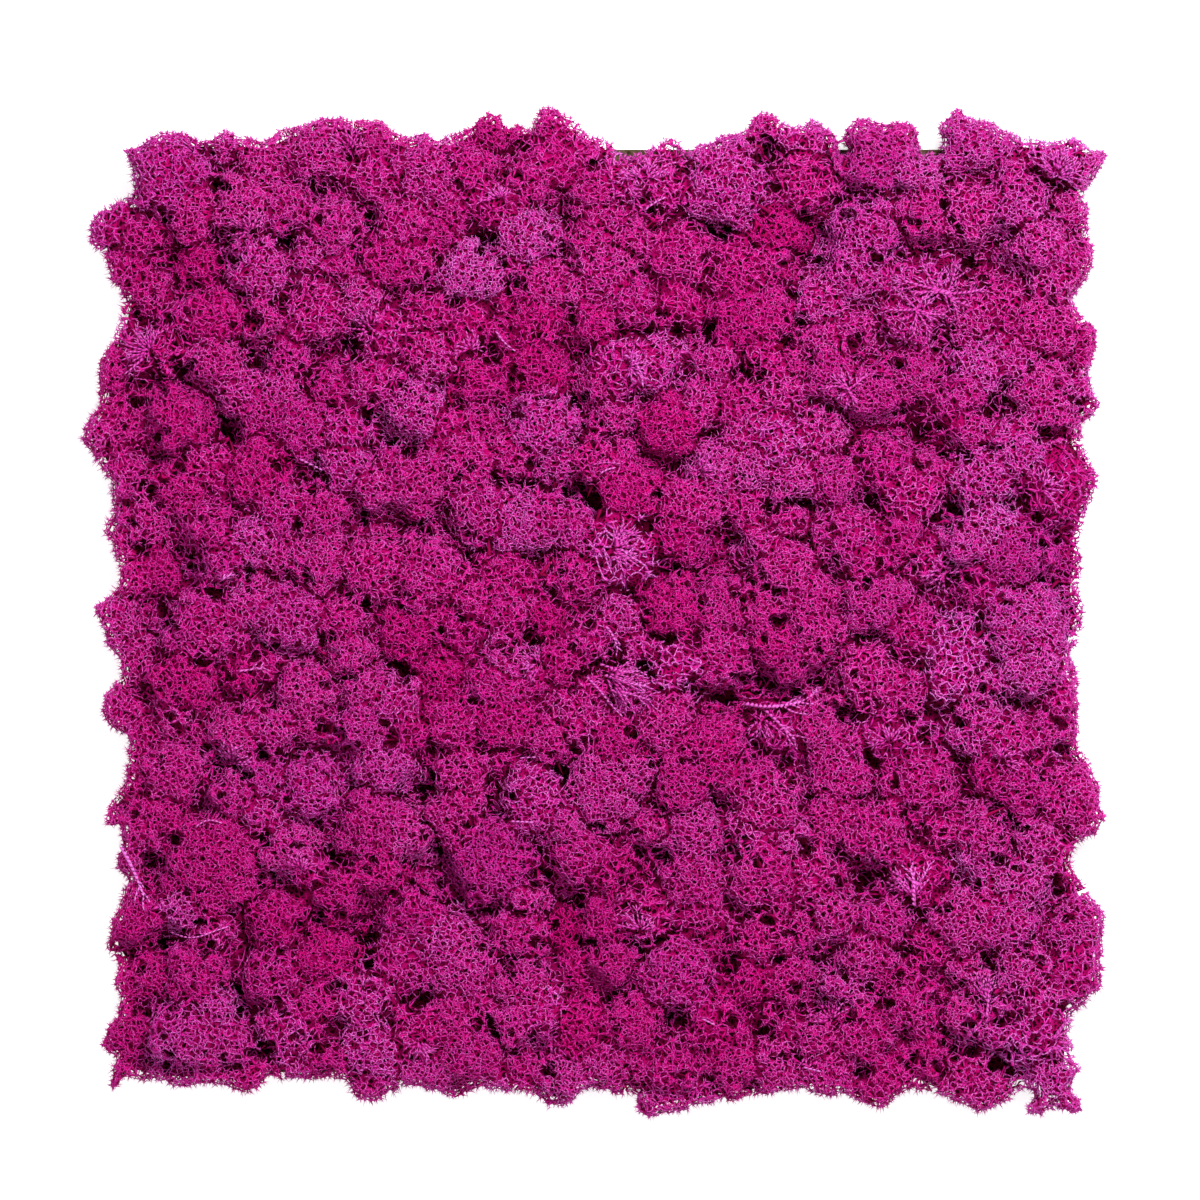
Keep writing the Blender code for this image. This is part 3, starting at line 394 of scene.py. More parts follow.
    (228, 945, 9, 5, 15), (242, 908, 8, 5, 0), (206, 921, 8, 4, 0), (173, 915, 5, 7, 0),
    (234, 992, 9, 7, 35), (240, 1015, 5, 8, 0), (278, 1006, 7, 5, 0),
    (260, 1051, 11, 7, -15), (165, 1009, 11, 5, 0), (186, 1008, 6, 4, 0),
    (156, 1025, 5, 7, 0), (165, 1065, 7, 8, 0), (230, 1063, 6, 6, 0), (279, 952, 11, 12, 0),
    (258, 935, 7, 4, 0), (303, 925, 7, 9, 20), (312, 915, 10, 7, 0), (338, 918, 10, 9, 0),
    (358, 921, 7, 6, 0), (328, 851, 10, 8, 15), (315, 822, 6, 5, 0), (303, 845, 9, 4, 0),
    (341, 865, 5, 6, 0), (323, 880, 5, 7, 0), (290, 800, 5, 9, -20), (367, 865, 5, 6, 0),
    (382, 891, 6, 4, 0), (395, 897, 6, 15, 0), (410, 882, 7, 11, 0), (413, 862, 5, 9, 0),
    (423, 885, 7, 5, 0), (435, 850, 5, 7, 0), (369, 941, 8, 5, -40), (363, 960, 6, 7, 0),
    (372, 985, 5, 8, -40), (333, 983, 9, 4, 10), (416, 994, 14, 5, -12),
    (403, 1005, 6, 5, 0), (381, 1025, 5, 6, 0), (366, 1035, 7, 4, 0), (321, 1043, 8, 5, 0),
    (341, 1046, 8, 5, 0), (299, 1038, 5, 4, 0), (132, 811, 10, 4, 0), (195, 925, 8, 4, 0),
    (130, 990, 5, 8, 0), (140, 1010, 8, 4, 20), (421, 833, 5, 5, 0), (475, 826, 7, 6, 0),
    (478, 812, 4, 6, 0), (455, 836, 8, 4, -10), (500, 808, 5, 8, -20), (600, 832, 9, 5, 10),
    (661, 806, 8, 10, 0), (720, 848, 7, 6, 0), (736, 842, 6, 6, 0), (735, 858, 5, 5, 0),
    (757, 856, 5, 5, 0), (643, 848, 14, 6, 10), (657, 855, 8, 5, 0), (669, 859, 5, 6, 0),
    (640, 871, 5, 6, 0), (630, 881, 5, 6, 0), (600, 874, 4, 5, 0), (540, 877, 9, 6, 0),
    (535, 851, 8, 6, 0), (447, 888, 10, 7, 40), (476, 903, 8, 5, 20), (488, 910, 8, 7, 0),
    (515, 910, 9, 5, 0), (541, 912, 6, 5, 0), (578, 905, 9, 15, 0), (583, 940, 7, 11, 0),
    (593, 957, 8, 6, 0), (498, 947, 12, 8, 30), (480, 942, 8, 4, 0), (510, 962, 5, 9, -15),
    (546, 945, 12, 9, -10), (541, 967, 9, 8, 0), (626, 907, 12, 6, 0), (615, 993, 8, 5, 0),
    (597, 1004, 6, 9, -15), (612, 1037, 5, 11, 0), (520, 1040, 7, 6, 0),
    (515, 1052, 9, 6, 0), (495, 1030, 5, 15, -10), (475, 1030, 6, 5, 0),
    (450, 1067, 9, 5, 0), (545, 1070, 5, 8, 0), (557, 1037, 5, 10, 0),
    (680, 1018, 12, 5, 0), (666, 1040, 10, 4, 0), (670, 1051, 11, 4, 0),
    (681, 1058, 6, 8, 0), (690, 1077, 12, 5, 0), (710, 1075, 6, 4, 0),
    (730, 936, 6, 12, 20), (746, 921, 9, 5, -10), (728, 966, 8, 7, 0), (712, 976, 4, 8, 0),
    (735, 1018, 6, 8, -20), (746, 1032, 6, 4, 0), (672, 930, 4, 12, 0), (656, 942, 6, 5, 0),
    (555, 925, 5, 8, 0), (420, 1000, 6, 4, 0), (640, 945, 10, 4, 0), (845, 860, 8, 8, 0),
    (843, 881, 6, 13, 8), (870, 858, 8, 8, 0), (871, 881, 7, 9, 0), (876, 896, 5, 8, -20),
    (940, 865, 5, 9, 0), (910, 818, 5, 9, -25), (929, 834, 11, 4, 40), (995, 812, 9, 6, 0),
    (1010, 826, 7, 12, -15), (1003, 856, 9, 6, -15), (1018, 867, 8, 4, 0),
    (970, 830, 5, 10, 0), (977, 880, 5, 8, -30), (1060, 894, 8, 7, 0),
    (1066, 879, 5, 8, 20), (1062, 915, 6, 12, 10), (1030, 945, 8, 5, 20),
    (1040, 960, 5, 10, -40), (993, 962, 8, 5, 30), (1003, 981, 6, 7, -30),
    (1015, 986, 8, 4, 0), (1008, 1016, 14, 6, 15), (1029, 1033, 8, 5, 35),
    (970, 1020, 5, 9, 20), (940, 1003, 13, 4, 12), (880, 1008, 9, 6, 30),
    (875, 997, 4, 8, 0), (903, 1030, 8, 5, 30), (930, 1032, 8, 5, 0),
    (1000, 1066, 8, 11, -10), (1018, 1062, 10, 4, 0), (915, 1067, 7, 5, 0),
    (937, 1067, 8, 6, 0), (862, 1071, 8, 8, 0), (845, 1015, 9, 5, -30),
    (800, 1010, 8, 7, 0), (795, 990, 7, 10, 0), (765, 1031, 7, 13, 0),
    (785, 1050, 13, 4, -35), (820, 955, 6, 6, 0), (833, 976, 13, 7, -10),
    (790, 932, 7, 6, 0), (770, 919, 13, 4, 20), (815, 911, 5, 9, -20), (806, 845, 12, 4, 8),
    (783, 957, 6, 5, 0), (915, 956, 10, 4, 0), (930, 985, 8, 6, 0), (905, 975, 4, 8, 0),
    (963, 990, 6, 5, 0), (940, 915, 5, 8, 0), (1055, 1010, 7, 8, 0), (800, 1062, 6, 5, 0),
    (920, 1090, 5, 4, 0), (780, 1008, 9, 4, 0), (960, 1045, 14, 4, 0),
]

# heads of another tint: x, y, reach, tint (0 red magenta, 1 pale violet)
HUES = [
    (165, 255, 22, 0.05), (505, 160, 22, 0.08), (455, 180, 18, 0.2), (560, 235, 18, 0.1),
    (780, 235, 22, 0.12), (815, 230, 16, 0.1), (740, 260, 20, 0.2), (525, 290, 18, 0.15),
    (555, 350, 30, 0.02), (580, 335, 18, 0.0), (240, 325, 18, 0.2), (765, 335, 20, 0.06),
    (945, 365, 18, 0.05), (875, 350, 15, 0.2), (985, 285, 18, 0.12), (655, 415, 24, 0.0),
    (625, 495, 24, 0.0), (450, 505, 16, 0.15), (120, 420, 20, 0.2), (395, 625, 34, 0.05),
    (665, 590, 26, 0.08), (780, 620, 20, 0.2), (240, 665, 26, 0.15), (165, 660, 22, 0.15),
    (405, 660, 20, 0.15), (715, 700, 18, 0.1), (440, 775, 18, 0.15), (800, 780, 16, 0.1),
    (870, 775, 16, 0.15), (665, 800, 20, 0.2), (165, 850, 26, 0.12), (610, 890, 18, 0.22),
    (835, 870, 20, 0.18), (320, 935, 34, 0.03), (550, 955, 22, 0.08), (150, 985, 34, 0.08),
    (580, 905, 18, 0.1), (950, 965, 26, 0.12), (950, 1045, 30, 0.06), (735, 1045, 28, 0.15),
    (120, 1035, 18, 0.2), (1000, 820, 18, 0.25), (965, 615, 18, 0.2), (850, 580, 20, 0.25),
    (700, 330, 18, 0.12), (220, 190, 16, 0.2), (290, 235, 16, 0.2), (910, 435, 20, 0.2),
    (225, 860, 30, 0.25), (640, 1040, 26, 0.25), (700, 1060, 24, 0.3), (850, 865, 18, 0.25),
    (150, 160, 30, 0.85), (185, 145, 22, 0.8), (320, 270, 22, 0.72), (265, 270, 20, 0.78),
    (300, 455, 26, 0.85), (350, 450, 24, 0.82), (415, 415, 18, 0.75), (525, 235, 18, 0.78),
    (545, 425, 22, 0.8), (620, 555, 26, 0.98), (515, 530, 26, 0.75), (240, 560, 22, 0.7),
    (420, 540, 20, 0.65), (780, 440, 22, 0.95), (930, 285, 28, 0.88), (885, 260, 22, 0.85),
    (640, 360, 26, 0.85), (875, 230, 22, 0.85), (725, 175, 24, 0.85), (640, 170, 28, 0.72),
    (960, 130, 24, 0.85), (1060, 160, 26, 0.9), (1030, 210, 26, 0.85), (995, 375, 30, 0.85),
    (1080, 430, 24, 0.8), (1000, 475, 30, 0.9), (990, 535, 28, 0.88), (1025, 645, 28, 0.85),
    (960, 655, 24, 0.95), (1050, 560, 20, 0.75), (630, 685, 20, 0.85), (765, 730, 20, 0.8),
    (895, 740, 24, 0.85), (780, 850, 24, 0.75), (200, 1030, 28, 0.85), (180, 920, 22, 0.75),
    (440, 940, 30, 0.72), (535, 805, 20, 0.75), (495, 860, 24, 0.78), (350, 800, 20, 0.65),
    (310, 793, 16, 0.82), (265, 780, 18, 0.75), (660, 965, 22, 0.7), (685, 990, 18, 0.78),
    (1090, 950, 24, 0.75), (1015, 1035, 30, 0.85), (1060, 1060, 28, 0.85), (440, 1090, 24, 0.75),
    (560, 1090, 20, 0.8), (690, 1105, 28, 0.72), (140, 330, 20, 0.72), (610, 640, 24, 0.78),
    (500, 660, 22, 0.62), (840, 460, 24, 0.68), (470, 270, 20, 0.78), (850, 285, 22, 0.82),
    (880, 165, 26, 0.82), (850, 370, 18, 0.8), (230, 625, 24, 0.75), (290, 610, 22, 0.78),
    (250, 540, 24, 0.72), (380, 765, 18, 0.78), (405, 700, 18, 0.75), (670, 665, 18, 0.85),
    (590, 800, 22, 0.72), (540, 1010, 22, 0.7), (360, 990, 16, 0.72), (995, 925, 24, 0.72),
    (1064, 560, 44, 0.92), (1070, 330, 24, 0.3), (560, 170, 20, 0.3), (330, 200, 20, 0.68), (410, 180, 24, 0.7),
]

# heads whose twigs stand closer or wider: x, y, reach, grade
GRADED = [
    (620, 555, 24, 3), (625, 655, 26, 3), (930, 290, 26, 3), (1040, 485, 26, 3),
    (930, 565, 24, 3), (500, 600, 20, 2), (140, 360, 30, 3), (150, 440, 20, 2),
    (250, 230, 20, 2), (640, 360, 24, 2), (470, 350, 20, 2), (640, 180, 26, 2),
    (500, 200, 22, 2), (1060, 180, 26, 3), (960, 660, 24, 3), (890, 740, 22, 3),
    (760, 730, 20, 3), (840, 700, 18, 3), (900, 880, 26, 2), (1050, 1040, 28, 3),
    (640, 930, 24, 2), (1080, 860, 20, 2), (230, 760, 20, 2), (570, 770, 20, 2),
    (880, 480, 22, 2), (760, 560, 22, 2), (180, 700, 18, 2), (830, 1020, 22, 2),
    (350, 150, 24, 2), (300, 350, 24, 1), (590, 720, 18, 2), (990, 1010, 20, 2),
    (545, 420, 26, 0), (655, 415, 22, 0), (625, 495, 22, 0), (665, 590, 24, 0),
    (225, 860, 34, 0), (610, 800, 28, 0), (395, 625, 30, 0), (480, 850, 26, 0),
    (830, 410, 22, 0), (560, 350, 26, 0), (400, 560, 26, 0), (250, 420, 24, 0),
    (320, 935, 26, 0), (950, 1045, 26, 0), (735, 1045, 24, 0), (150, 985, 24, 0),
    (780, 235, 20, 0), (1040, 430, 20, 0), (520, 520, 26, 0), (230, 620, 22, 1),
]

# heads that lie on their side, so that their twigs run one way:
# x, y, reach, direction in degrees, lean
COMBED = [
    (620, 545, 24, 60, 0.5), (625, 455, 22, 20, 0.6), (945, 655, 22, 200, 0.5),
    (930, 290, 20, 100, 0.3), (640, 365, 22, 70, 0.6), (760, 725, 22, 10, 0.7),
    (625, 660, 24, 240, 0.4), (1080, 930, 24, 0, 0.5), (300, 460, 22, 350, 0.6),
    (150, 430, 22, 30, 0.5), (880, 250, 20, 150, 0.4), (560, 1080, 22, 270, 0.5),
    (470, 150, 20, 110, 0.4), (1065, 480, 22, 20, 0.4),
]

# parts that are duller or brighter than the rest, partly the lichen's own tone and partly painted light and
# painted shade (a broad painted brightening towards the right, painted shade along the right edge): x, y, reach,
# share
SHADES = [
    (169, 265, 45, 0.86), (320, 929, 50, 0.80), (567, 935, 45, 0.78), (718, 700, 30, 0.85),
    (857, 869, 32, 0.82), (459, 652, 50, 0.86), (549, 603, 32, 0.84), (241, 676, 36, 0.88),
    (579, 344, 28, 0.86), (694, 344, 28, 0.88), (1062, 560, 60, 0.62), (953, 603, 28, 0.88),
    (495, 157, 36, 0.84), (833, 229, 36, 0.88), (181, 590, 50, 0.88), (145, 1002, 45, 0.86),
    (513, 386, 36, 0.88), (712, 1038, 60, 0.90), (170, 450, 40, 0.90), (160, 780, 50, 0.90),
    (160, 140, 30, 0.84), (940, 430, 28, 0.84), (470, 740, 60, 0.93), (490, 857, 30, 0.88),
    (921, 296, 45, 1.12), (785, 447, 50, 1.10), (616, 555, 30, 1.12), (634, 368, 28, 1.10),
    (990, 519, 30, 1.12), (953, 664, 32, 1.12), (1014, 205, 60, 1.08), (990, 941, 60, 1.04),
    (1050, 250, 160, 1.04), (1060, 700, 150, 1.04), (1050, 1030, 110, 1.10), (1020, 350, 60, 1.06),
    (973, 247, 36, 1.10), (1030, 640, 40, 1.08), (640, 180, 40, 1.05), (1000, 490, 50, 1.08),
]

# long bare twigs: the bent line they follow, thickness at both ends, tone, tint
LONG_TWIGS = [
    ([(745, 704), (765, 707), (783, 706), (801, 702)], 2.2, 1.5, 0.95, 0.85),
    ([(765, 710), (778, 722), (795, 740)], 1.6, 1.0, 0.92, 0.80),
    ([(801, 702), (812, 696), (818, 688)], 1.2, 0.6, 0.95, 0.85),
    ([(783, 706), (794, 713), (806, 714)], 1.1, 0.6, 0.95, 0.80),
    ([(604, 675), (618, 679), (632, 684), (646, 686)], 1.5, 0.9, 0.95, 0.85),
    ([(600, 664), (622, 672), (640, 671)], 1.2, 0.7, 0.95, 0.85),
    ([(610, 690), (628, 693), (650, 700)], 1.2, 0.7, 0.90, 0.80),
    ([(606, 626), (614, 636), (618, 650)], 1.2, 0.7, 1.0, 0.85),
    ([(624, 355), (634, 360), (641, 372), (643, 387)], 1.1, 0.7, 1.0, 0.90),
    ([(496, 331), (503, 342), (515, 351)], 1.0, 0.6, 1.0, 0.80),
    ([(645, 210), (654, 203), (665, 198)], 1.0, 0.6, 1.0, 0.90),
    ([(300, 459), (310, 464), (322, 470)], 1.1, 0.7, 1.0, 0.95),
    ([(239, 671), (250, 670), (263, 667)], 1.2, 0.7, 1.0, 0.70),
    ([(221, 580), (231, 575)], 1.3, 0.8, 1.0, 0.80),
    ([(914, 906), (913, 895), (915, 884), (910, 868)], 2.1, 1.0, 1.0, 0.75),
    ([(915, 886), (924, 876), (929, 864)], 1.3, 0.7, 1.0, 0.75),
    ([(913, 893), (902, 883), (896, 872)], 1.2, 0.7, 0.95, 0.70),
    ([(986, 1016), (988, 1000), (990, 984)], 1.4, 0.7, 0.95, 0.75),
    ([(988, 1002), (980, 990), (974, 984)], 1.1, 0.6, 0.95, 0.75),
    ([(592, 465), (606, 462), (620, 464)], 0.7, 0.5, 0.90, 0.70),
    ([(600, 474), (607, 469), (615, 468)], 0.9, 0.6, 1.0, 0.95),
    ([(603, 533), (606, 528), (612, 537), (624, 541)], 0.9, 0.6, 1.0, 0.98),
    ([(612, 560), (624, 556), (636, 546), (640, 536)], 1.0, 0.6, 1.0, 0.98),
    ([(604, 548), (607, 562), (612, 574)], 0.8, 0.5, 1.0, 0.90),
    ([(596, 556), (599, 568), (605, 580)], 0.8, 0.5, 1.0, 0.85),
    ([(620, 548), (630, 556), (646, 566)], 0.9, 0.5, 1.0, 0.98),
    ([(586, 676), (600, 690), (612, 706), (622, 716)], 1.1, 0.6, 0.95, 0.85),
    ([(470, 550), (476, 544), (474, 553)], 1.0, 0.7, 1.0, 0.98),
    ([(121, 847), (128, 858), (137, 878), (144, 897)], 1.9, 0.9, 1.0, 0.98),
    ([(170, 932), (184, 938), (199, 937), (214, 931), (229, 926)], 0.8, 0.6, 1.0, 0.85),
    ([(196, 827), (203, 821), (213, 819), (222, 823)], 0.8, 0.6, 1.0, 0.80),
    ([(510, 821), (533, 822)], 0.9, 0.7, 1.0, 0.90),
    ([(520, 758), (535, 757)], 0.8, 0.6, 1.0, 0.90),
    ([(702, 1018), (714, 1024)], 0.9, 0.7, 1.0, 0.90),
    ([(803, 1067), (820, 1071)], 0.9, 0.7, 1.0, 0.98),
    ([(798, 934), (803, 948), (809, 963)], 1.1, 0.8, 0.8, 0.10),
    ([(1052, 751), (1063, 757)], 0.8, 0.6, 1.0, 0.85),
    ([(934, 290), (949, 294)], 2, 2.2, 0.88, 0.68),
    ([(936, 290), (920, 286), (904, 281)], 1.6, 0.9, 0.88, 0.68),
    ([(936, 291), (925, 293), (914, 293)], 1.3, 0.8, 0.88, 0.65),
    ([(936, 290), (929, 277), (922, 265)], 1.4, 0.8, 0.88, 0.68),
    ([(936, 288), (940, 277), (946, 268)], 1.2, 0.7, 0.88, 0.68),
    ([(948, 294), (953, 279), (957, 263)], 1.5, 0.8, 0.88, 0.71),
    ([(952, 281), (963, 274), (969, 269)], 1, 0.7, 0.88, 0.71),
    ([(948, 294), (962, 293), (973, 292), (983, 289)], 1.5, 0.9, 0.88, 0.68),
    ([(972, 292), (979, 286)], 0.86, 0.6, 0.88, 0.68),
    ([(948, 295), (954, 303), (957, 312)], 1.3, 0.8, 0.88, 0.65),
    ([(951, 298), (960, 304), (969, 305)], 1.2, 0.7, 0.88, 0.65),
    ([(916, 310), (902, 311), (888, 310)], 1.4, 0.8, 0.88, 0.63),
    ([(916, 310), (909, 302), (904, 296)], 1.2, 0.7, 0.88, 0.63),
    ([(916, 310), (930, 315), (945, 315)], 1.4, 0.8, 0.88, 0.63),
    ([(916, 310), (916, 323), (913, 336)], 1.3, 0.8, 0.88, 0.63),
    ([(916, 311), (924, 323), (930, 334)], 1.2, 0.7, 0.88, 0.63),
    ([(916, 310), (920, 301), (927, 296)], 1.2, 0.8, 0.88, 0.65),
    ([(857, 403), (847, 389), (841, 375)], 1.6, 0.9, 0.88, 0.63),
    ([(847, 389), (834, 385), (824, 389)], 1.2, 0.7, 0.88, 0.63),
    ([(848, 390), (858, 383), (867, 374)], 1.2, 0.7, 0.88, 0.63),
    ([(614, 166), (613, 157), (618, 151), (623, 153)], 0.8, 0.6, 1.0, 0.80),
]

# open heads whose twigs fan out: x, y, reach, from and to angle, how many, tint
FANS = [
    (610, 548, 36, -60, 75, 12, 0.78), (628, 366, 24, -80, 80, 10, 0.85),
    (944, 292, 24, 0, 350, 7, 0.88), (904, 284, 18, 90, 260, 5, 0.85), (918, 312, 22, 0, 350, 6, 0.82),
    (848, 392, 24, 0, 350, 6, 0.82),
    (606, 672, 44, -75, 25, 10, 0.70), (762, 718, 30, -150, -20, 6, 0.66),
    (1056, 176, 34, -30, 160, 12, 0.88), (888, 742, 28, 10, 200, 8, 0.70),
    (912, 898, 32, 40, 150, 7, 0.64), (644, 182, 32, 20, 180, 10, 0.82),
    (150, 352, 34, 60, 230, 11, 0.75), (1040, 488, 28, -60, 130, 9, 0.88),
    (942, 574, 22, 0, 350, 9, 0.85), (1050, 1040, 36, -70, 60, 10, 0.82),
    (250, 232, 26, 30, 220, 8, 0.60), (905, 878, 20, 150, 260, 6, 0.70),
    (500, 200, 24, 30, 200, 8, 0.70), (985, 1000, 32, 60, 130, 7, 0.75),
    (640, 930, 26, 0, 180, 8, 0.65), (350, 150, 26, 20, 170, 8, 0.65),
    (230, 762, 24, -30, 150, 8, 0.70), (830, 1020, 24, 20, 200, 8, 0.60),
    (540, 665, 22, 90, 260, 7, 0.70), (1080, 862, 24, -60, 70, 8, 0.75),
    (470, 350, 22, 0, 200, 7, 0.65), (700, 470, 22, -40, 100, 7, 0.75),
    (370, 330, 24, 40, 220, 7, 0.60), (420, 1040, 24, -160, -20, 7, 0.60),
    (300, 870, 24, 0, 150, 7, 0.65), (1000, 760, 24, -40, 120, 7, 0.70),
]
# ------------------------------------------------------------ small helpers
# Everything below is laid out in "steps" of 0.54 mm: x to the right, y up
# (the lists above count y downwards), h above the board's front face.
STEP = 0.00054
MID_X, MID_Y = 602.0, 611.0
FRONT = 0.008
HALF_BOARD = 0.250
RISE = {1: 35.2, 2: 48.1, 3: 61.1, 4: 70.4, 5: 77.8}
VALLEY = 20.0
RIM_H = 22.0

X0, Y0, CELL = 60.0, 85.0, 0.5
NX, NY = 2140, 2110


def to_metres(p):
    out = np.empty_like(p, dtype=np.float64)
    out[:, 0] = (p[:, 0] - MID_X) * STEP
    out[:, 1] = (p[:, 1] + MID_Y) * STEP
    out[:, 2] = FRONT + p[:, 2] * STEP
    return out


def unit(v):
    return v / np.maximum(np.linalg.norm(v, axis=1, keepdims=True), 1e-9)


def window(cx, cy, far):
    j0 = max(0, int((cx - far - X0) / CELL))
    j1 = min(NX, int((cx + far - X0) / CELL) + 2)
    i0 = max(0, int((cy - far - Y0) / CELL))
    i1 = min(NY, int((cy + far - Y0) / CELL) + 2)
    dx = (X0 + CELL * np.arange(j0, j1, dtype=np.float32) - cx)[None, :]
    dy = (Y0 + CELL * np.arange(i0, i1, dtype=np.float32) - cy)[:, None]
    return (slice(i0, i1), slice(j0, j1)), dx, dy


def box_blur(a, r):
    """Mean over a square of 2r+1 cells, the edges repeated."""
    for axis in (0, 1):
        pad = [(0, 0), (0, 0)]
        pad[axis] = (r + 1, r)
        c = np.cumsum(np.pad(a, pad, mode="edge").astype(np.float64), axis=axis)
        n = a.shape[axis]
        hi = np.take(c, np.arange(2 * r + 1, 2 * r + 1 + n), axis=axis)
        lo = np.take(c, np.arange(0, n), axis=axis)
        a = ((hi - lo) / (2 * r + 1)).astype(np.float32)
    return a


def lowest_near(a, r):
    """Lowest value within r cells, by repeated small steps."""
    for axis in (0, 1):
        done = 0
        while done < r:
            step = min(max(done, 1), r - done)
            up = np.roll(a, step, axis)
            down = np.roll(a, -step, axis)
            a = np.minimum(a, np.minimum(up, down))
            done += step
    return a


def cells_of(x, y):
    """Cell indices for plan positions (y counted downwards)."""
    j = np.clip(((x - X0) / CELL + 0.5).astype(int), 0, NX - 1)
    i = np.clip(((y - Y0) / CELL + 0.5).astype(int), 0, NY - 1)
    return i, j


# --------------------------------------------------- what each head is like
N_HEADS = len(HEADS)
head_xy = np.array([(h[0], h[1]) for h in HEADS], float)
head_r = np.array([h[2] for h in HEADS], float)
seed_xy = np.array(TUFTS, float)
head_tuft = np.argmin(((head_xy[:, None] - seed_xy[None]) ** 2).sum(2), axis=1)

head_top = np.array([RISE[h[3]] for h in HEADS], float)
out_x = np.abs((head_xy[:, 0] - MID_X) * STEP)
out_y = np.abs((head_xy[:, 1] - MID_Y) * STEP)
outside = np.maximum(out_x, out_y) - (HALF_BOARD - 0.012)
head_top -= np.clip(outside * 0.35, 0.0, 0.008) / STEP

pick = np.random.default_rng(5)
# spacing of the twigs: fine, middling, open, or a loose web
GRADES = np.array([0.88, 1.0, 1.16, 1.42])
head_grade = pick.choice(4, N_HEADS, p=[0.26, 0.44, 0.24, 0.06])
head_hue = np.clip(pick.normal(0.45, 0.10, N_HEADS), 0.05, 0.95)
head_lean = np.zeros((N_HEADS, 2))
# how readily neighbouring ends grow into a net
head_net = np.clip(pick.normal(0.83, 0.13, N_HEADS), 0.45, 1.0)

for number in range(len(TUFTS)):
    if number + 1 in DEEP_TUFTS:
        head_hue[head_tuft == number] -= 0.12
for x, y, reach, hue in HUES:
    near = np.exp(-((head_xy[:, 0] - x) ** 2 + (head_xy[:, 1] - y) ** 2) / (1.25 * reach) ** 2)
    head_hue += near * (hue - head_hue)
for x, y, reach, grade in GRADED:
    near = np.hypot(head_xy[:, 0] - x, head_xy[:, 1] - y) < reach
    head_grade[near] = grade
for x, y, reach, way, lean in COMBED:
    near = np.hypot(head_xy[:, 0] - x, head_xy[:, 1] - y) < reach
    a = math.radians(way)
    head_lean[near] = (math.cos(a) * lean, math.sin(a) * lean)
# the tint runs paler towards the left and right sides
head_hue += 0.06 * np.clip((np.abs(head_xy[:, 0] - 600.0) - 300.0) / 150.0, 0.0, 1.0)
head_hue = np.clip(head_hue, 0.02, 0.98)
head_fan = np.zeros(N_HEADS)
for x, y, reach, _, _, _, _ in FANS:
    near = np.hypot(head_xy[:, 0] - x, head_xy[:, 1] - y) < 0.75 * reach
    head_fan[near] = 1.0
head_net *= 1.0 - 0.6 * head_fan
head_tone = np.clip(pick.normal(1.0, 0.05, N_HEADS), 0.88, 1.10)
# SHADES puts its painted light and painted shade, together with the lichen's own tone, into each head's tone
for x, y, reach, share in SHADES:
    near = np.exp(-((head_xy[:, 0] - x) ** 2 + (head_xy[:, 1] - y) ** 2) / reach ** 2)
    head_tone *= 1.0 + near * (share - 1.0)

# ------------------------------------------------------- the canopy's shape
high = np.full((NY, NX), -1.0e4, np.float32)
owner = np.zeros((NY, NX), np.int16)


def raise_to(where, value, head):
    part = high[where]
    more = value > part
    part[more] = value[more]
    owner[where][more] = head


lump = np.random.default_rng(23)
for k in range(N_HEADS):
    (cx, cy), r, top = head_xy[k], head_r[k], head_top[k]
    where, dx, dy = window(cx, cy, 2.3 * r)
    d = np.hypot(dx, dy)
    q = np.minimum(d / (1.12 * r), 1.0)
    dome = top - 0.90 * r * (1.0 - np.sqrt(1.0 - q ** DOME))
    dome = dome - np.maximum(d - 1.12 * r, 0.0) * 1.2
    lr0 = 4.2 + 0.20 * r
    raise_to(where, dome - 0.24 * lr0, k)
    n = max(4, int(round(1.05 * (r / lr0) ** 2)))
    turn = lump.uniform(0, 2 * math.pi)
    for m in range(n):
        lr = lr0 * lump.uniform(0.82, 1.22)
        rho = 1.0 * r * math.sqrt((m + 0.5) / n)
        a = turn + m * 2.39996 + lump.uniform(-0.25, 0.25)
        lx = cx + rho * math.cos(a) + lump.uniform(-1.5, 1.5)
        ly = cy + rho * math.sin(a) + lump.uniform(-1.5, 1.5)
        t = min(rho / (1.12 * r), 0.999)
        tip = top - 0.90 * r * (1.0 - math.sqrt(1.0 - t ** DOME))
        tip += lump.uniform(-0.10, 0.14) * lr
        ball = 1.40 * lr
        where, dx, dy = window(lx, ly, ball)
        inside = ball * ball - dx * dx - dy * dy
        cap = np.where(inside > 0, tip - ball + np.sqrt(np.maximum(inside, 0)), -1e4)
        raise_to(where, cap, k)

H = np.maximum(high, VALLEY)
# twigs of neighbouring heads lean into the creases between them
H = np.maximum(H, box_blur(H, FILL_CELLS) - FILL_BELOW)

def rough_field(pitch, seed):
    g = np.random.default_rng(seed)
    n = int(pitch / CELL)
    a = g.uniform(-1, 1, (NY // n + 2, NX // n + 2)).astype(np.float32)
    a = np.repeat(np.repeat(a, n, 0), n, 1)[:NY, :NX]
    a = box_blur(box_blur(a, n // 2), n // 2)
    return a / a.std()


# how far each place is inside the outline, at a coarser pitch
rim = np.array(OUTLINE, float)
nxt = np.roll(rim, -1, axis=0)
gx = X0 + 2.0 * np.arange(NX // 4 + 1)
gy = Y0 + 2.0 * np.arange(NY // 4 + 1)
px, py = np.meshgrid(gx, gy)
away = np.full(px.shape, 1e9)
within = np.zeros(px.shape, bool)
for (ax, ay), (bx, by) in zip(rim, nxt):
    ex, ey = bx - ax, by - ay
    t = np.clip(((px - ax) * ex + (py - ay) * ey) / (ex * ex + ey * ey), 0, 1)
    away = np.minimum(away, np.hypot(px - ax - t * ex, py - ay - t * ey))
    if ay != by:
        cross = (ay > py) != (by > py)
        within ^= cross & (px < ax + (py - ay) * ex / ey)
away = np.where(within, away, -away).astype(np.float32)
fi = np.arange(NY) / 4.0
fj = np.arange(NX) / 4.0
i0 = np.minimum(fi.astype(int), away.shape[0] - 2)
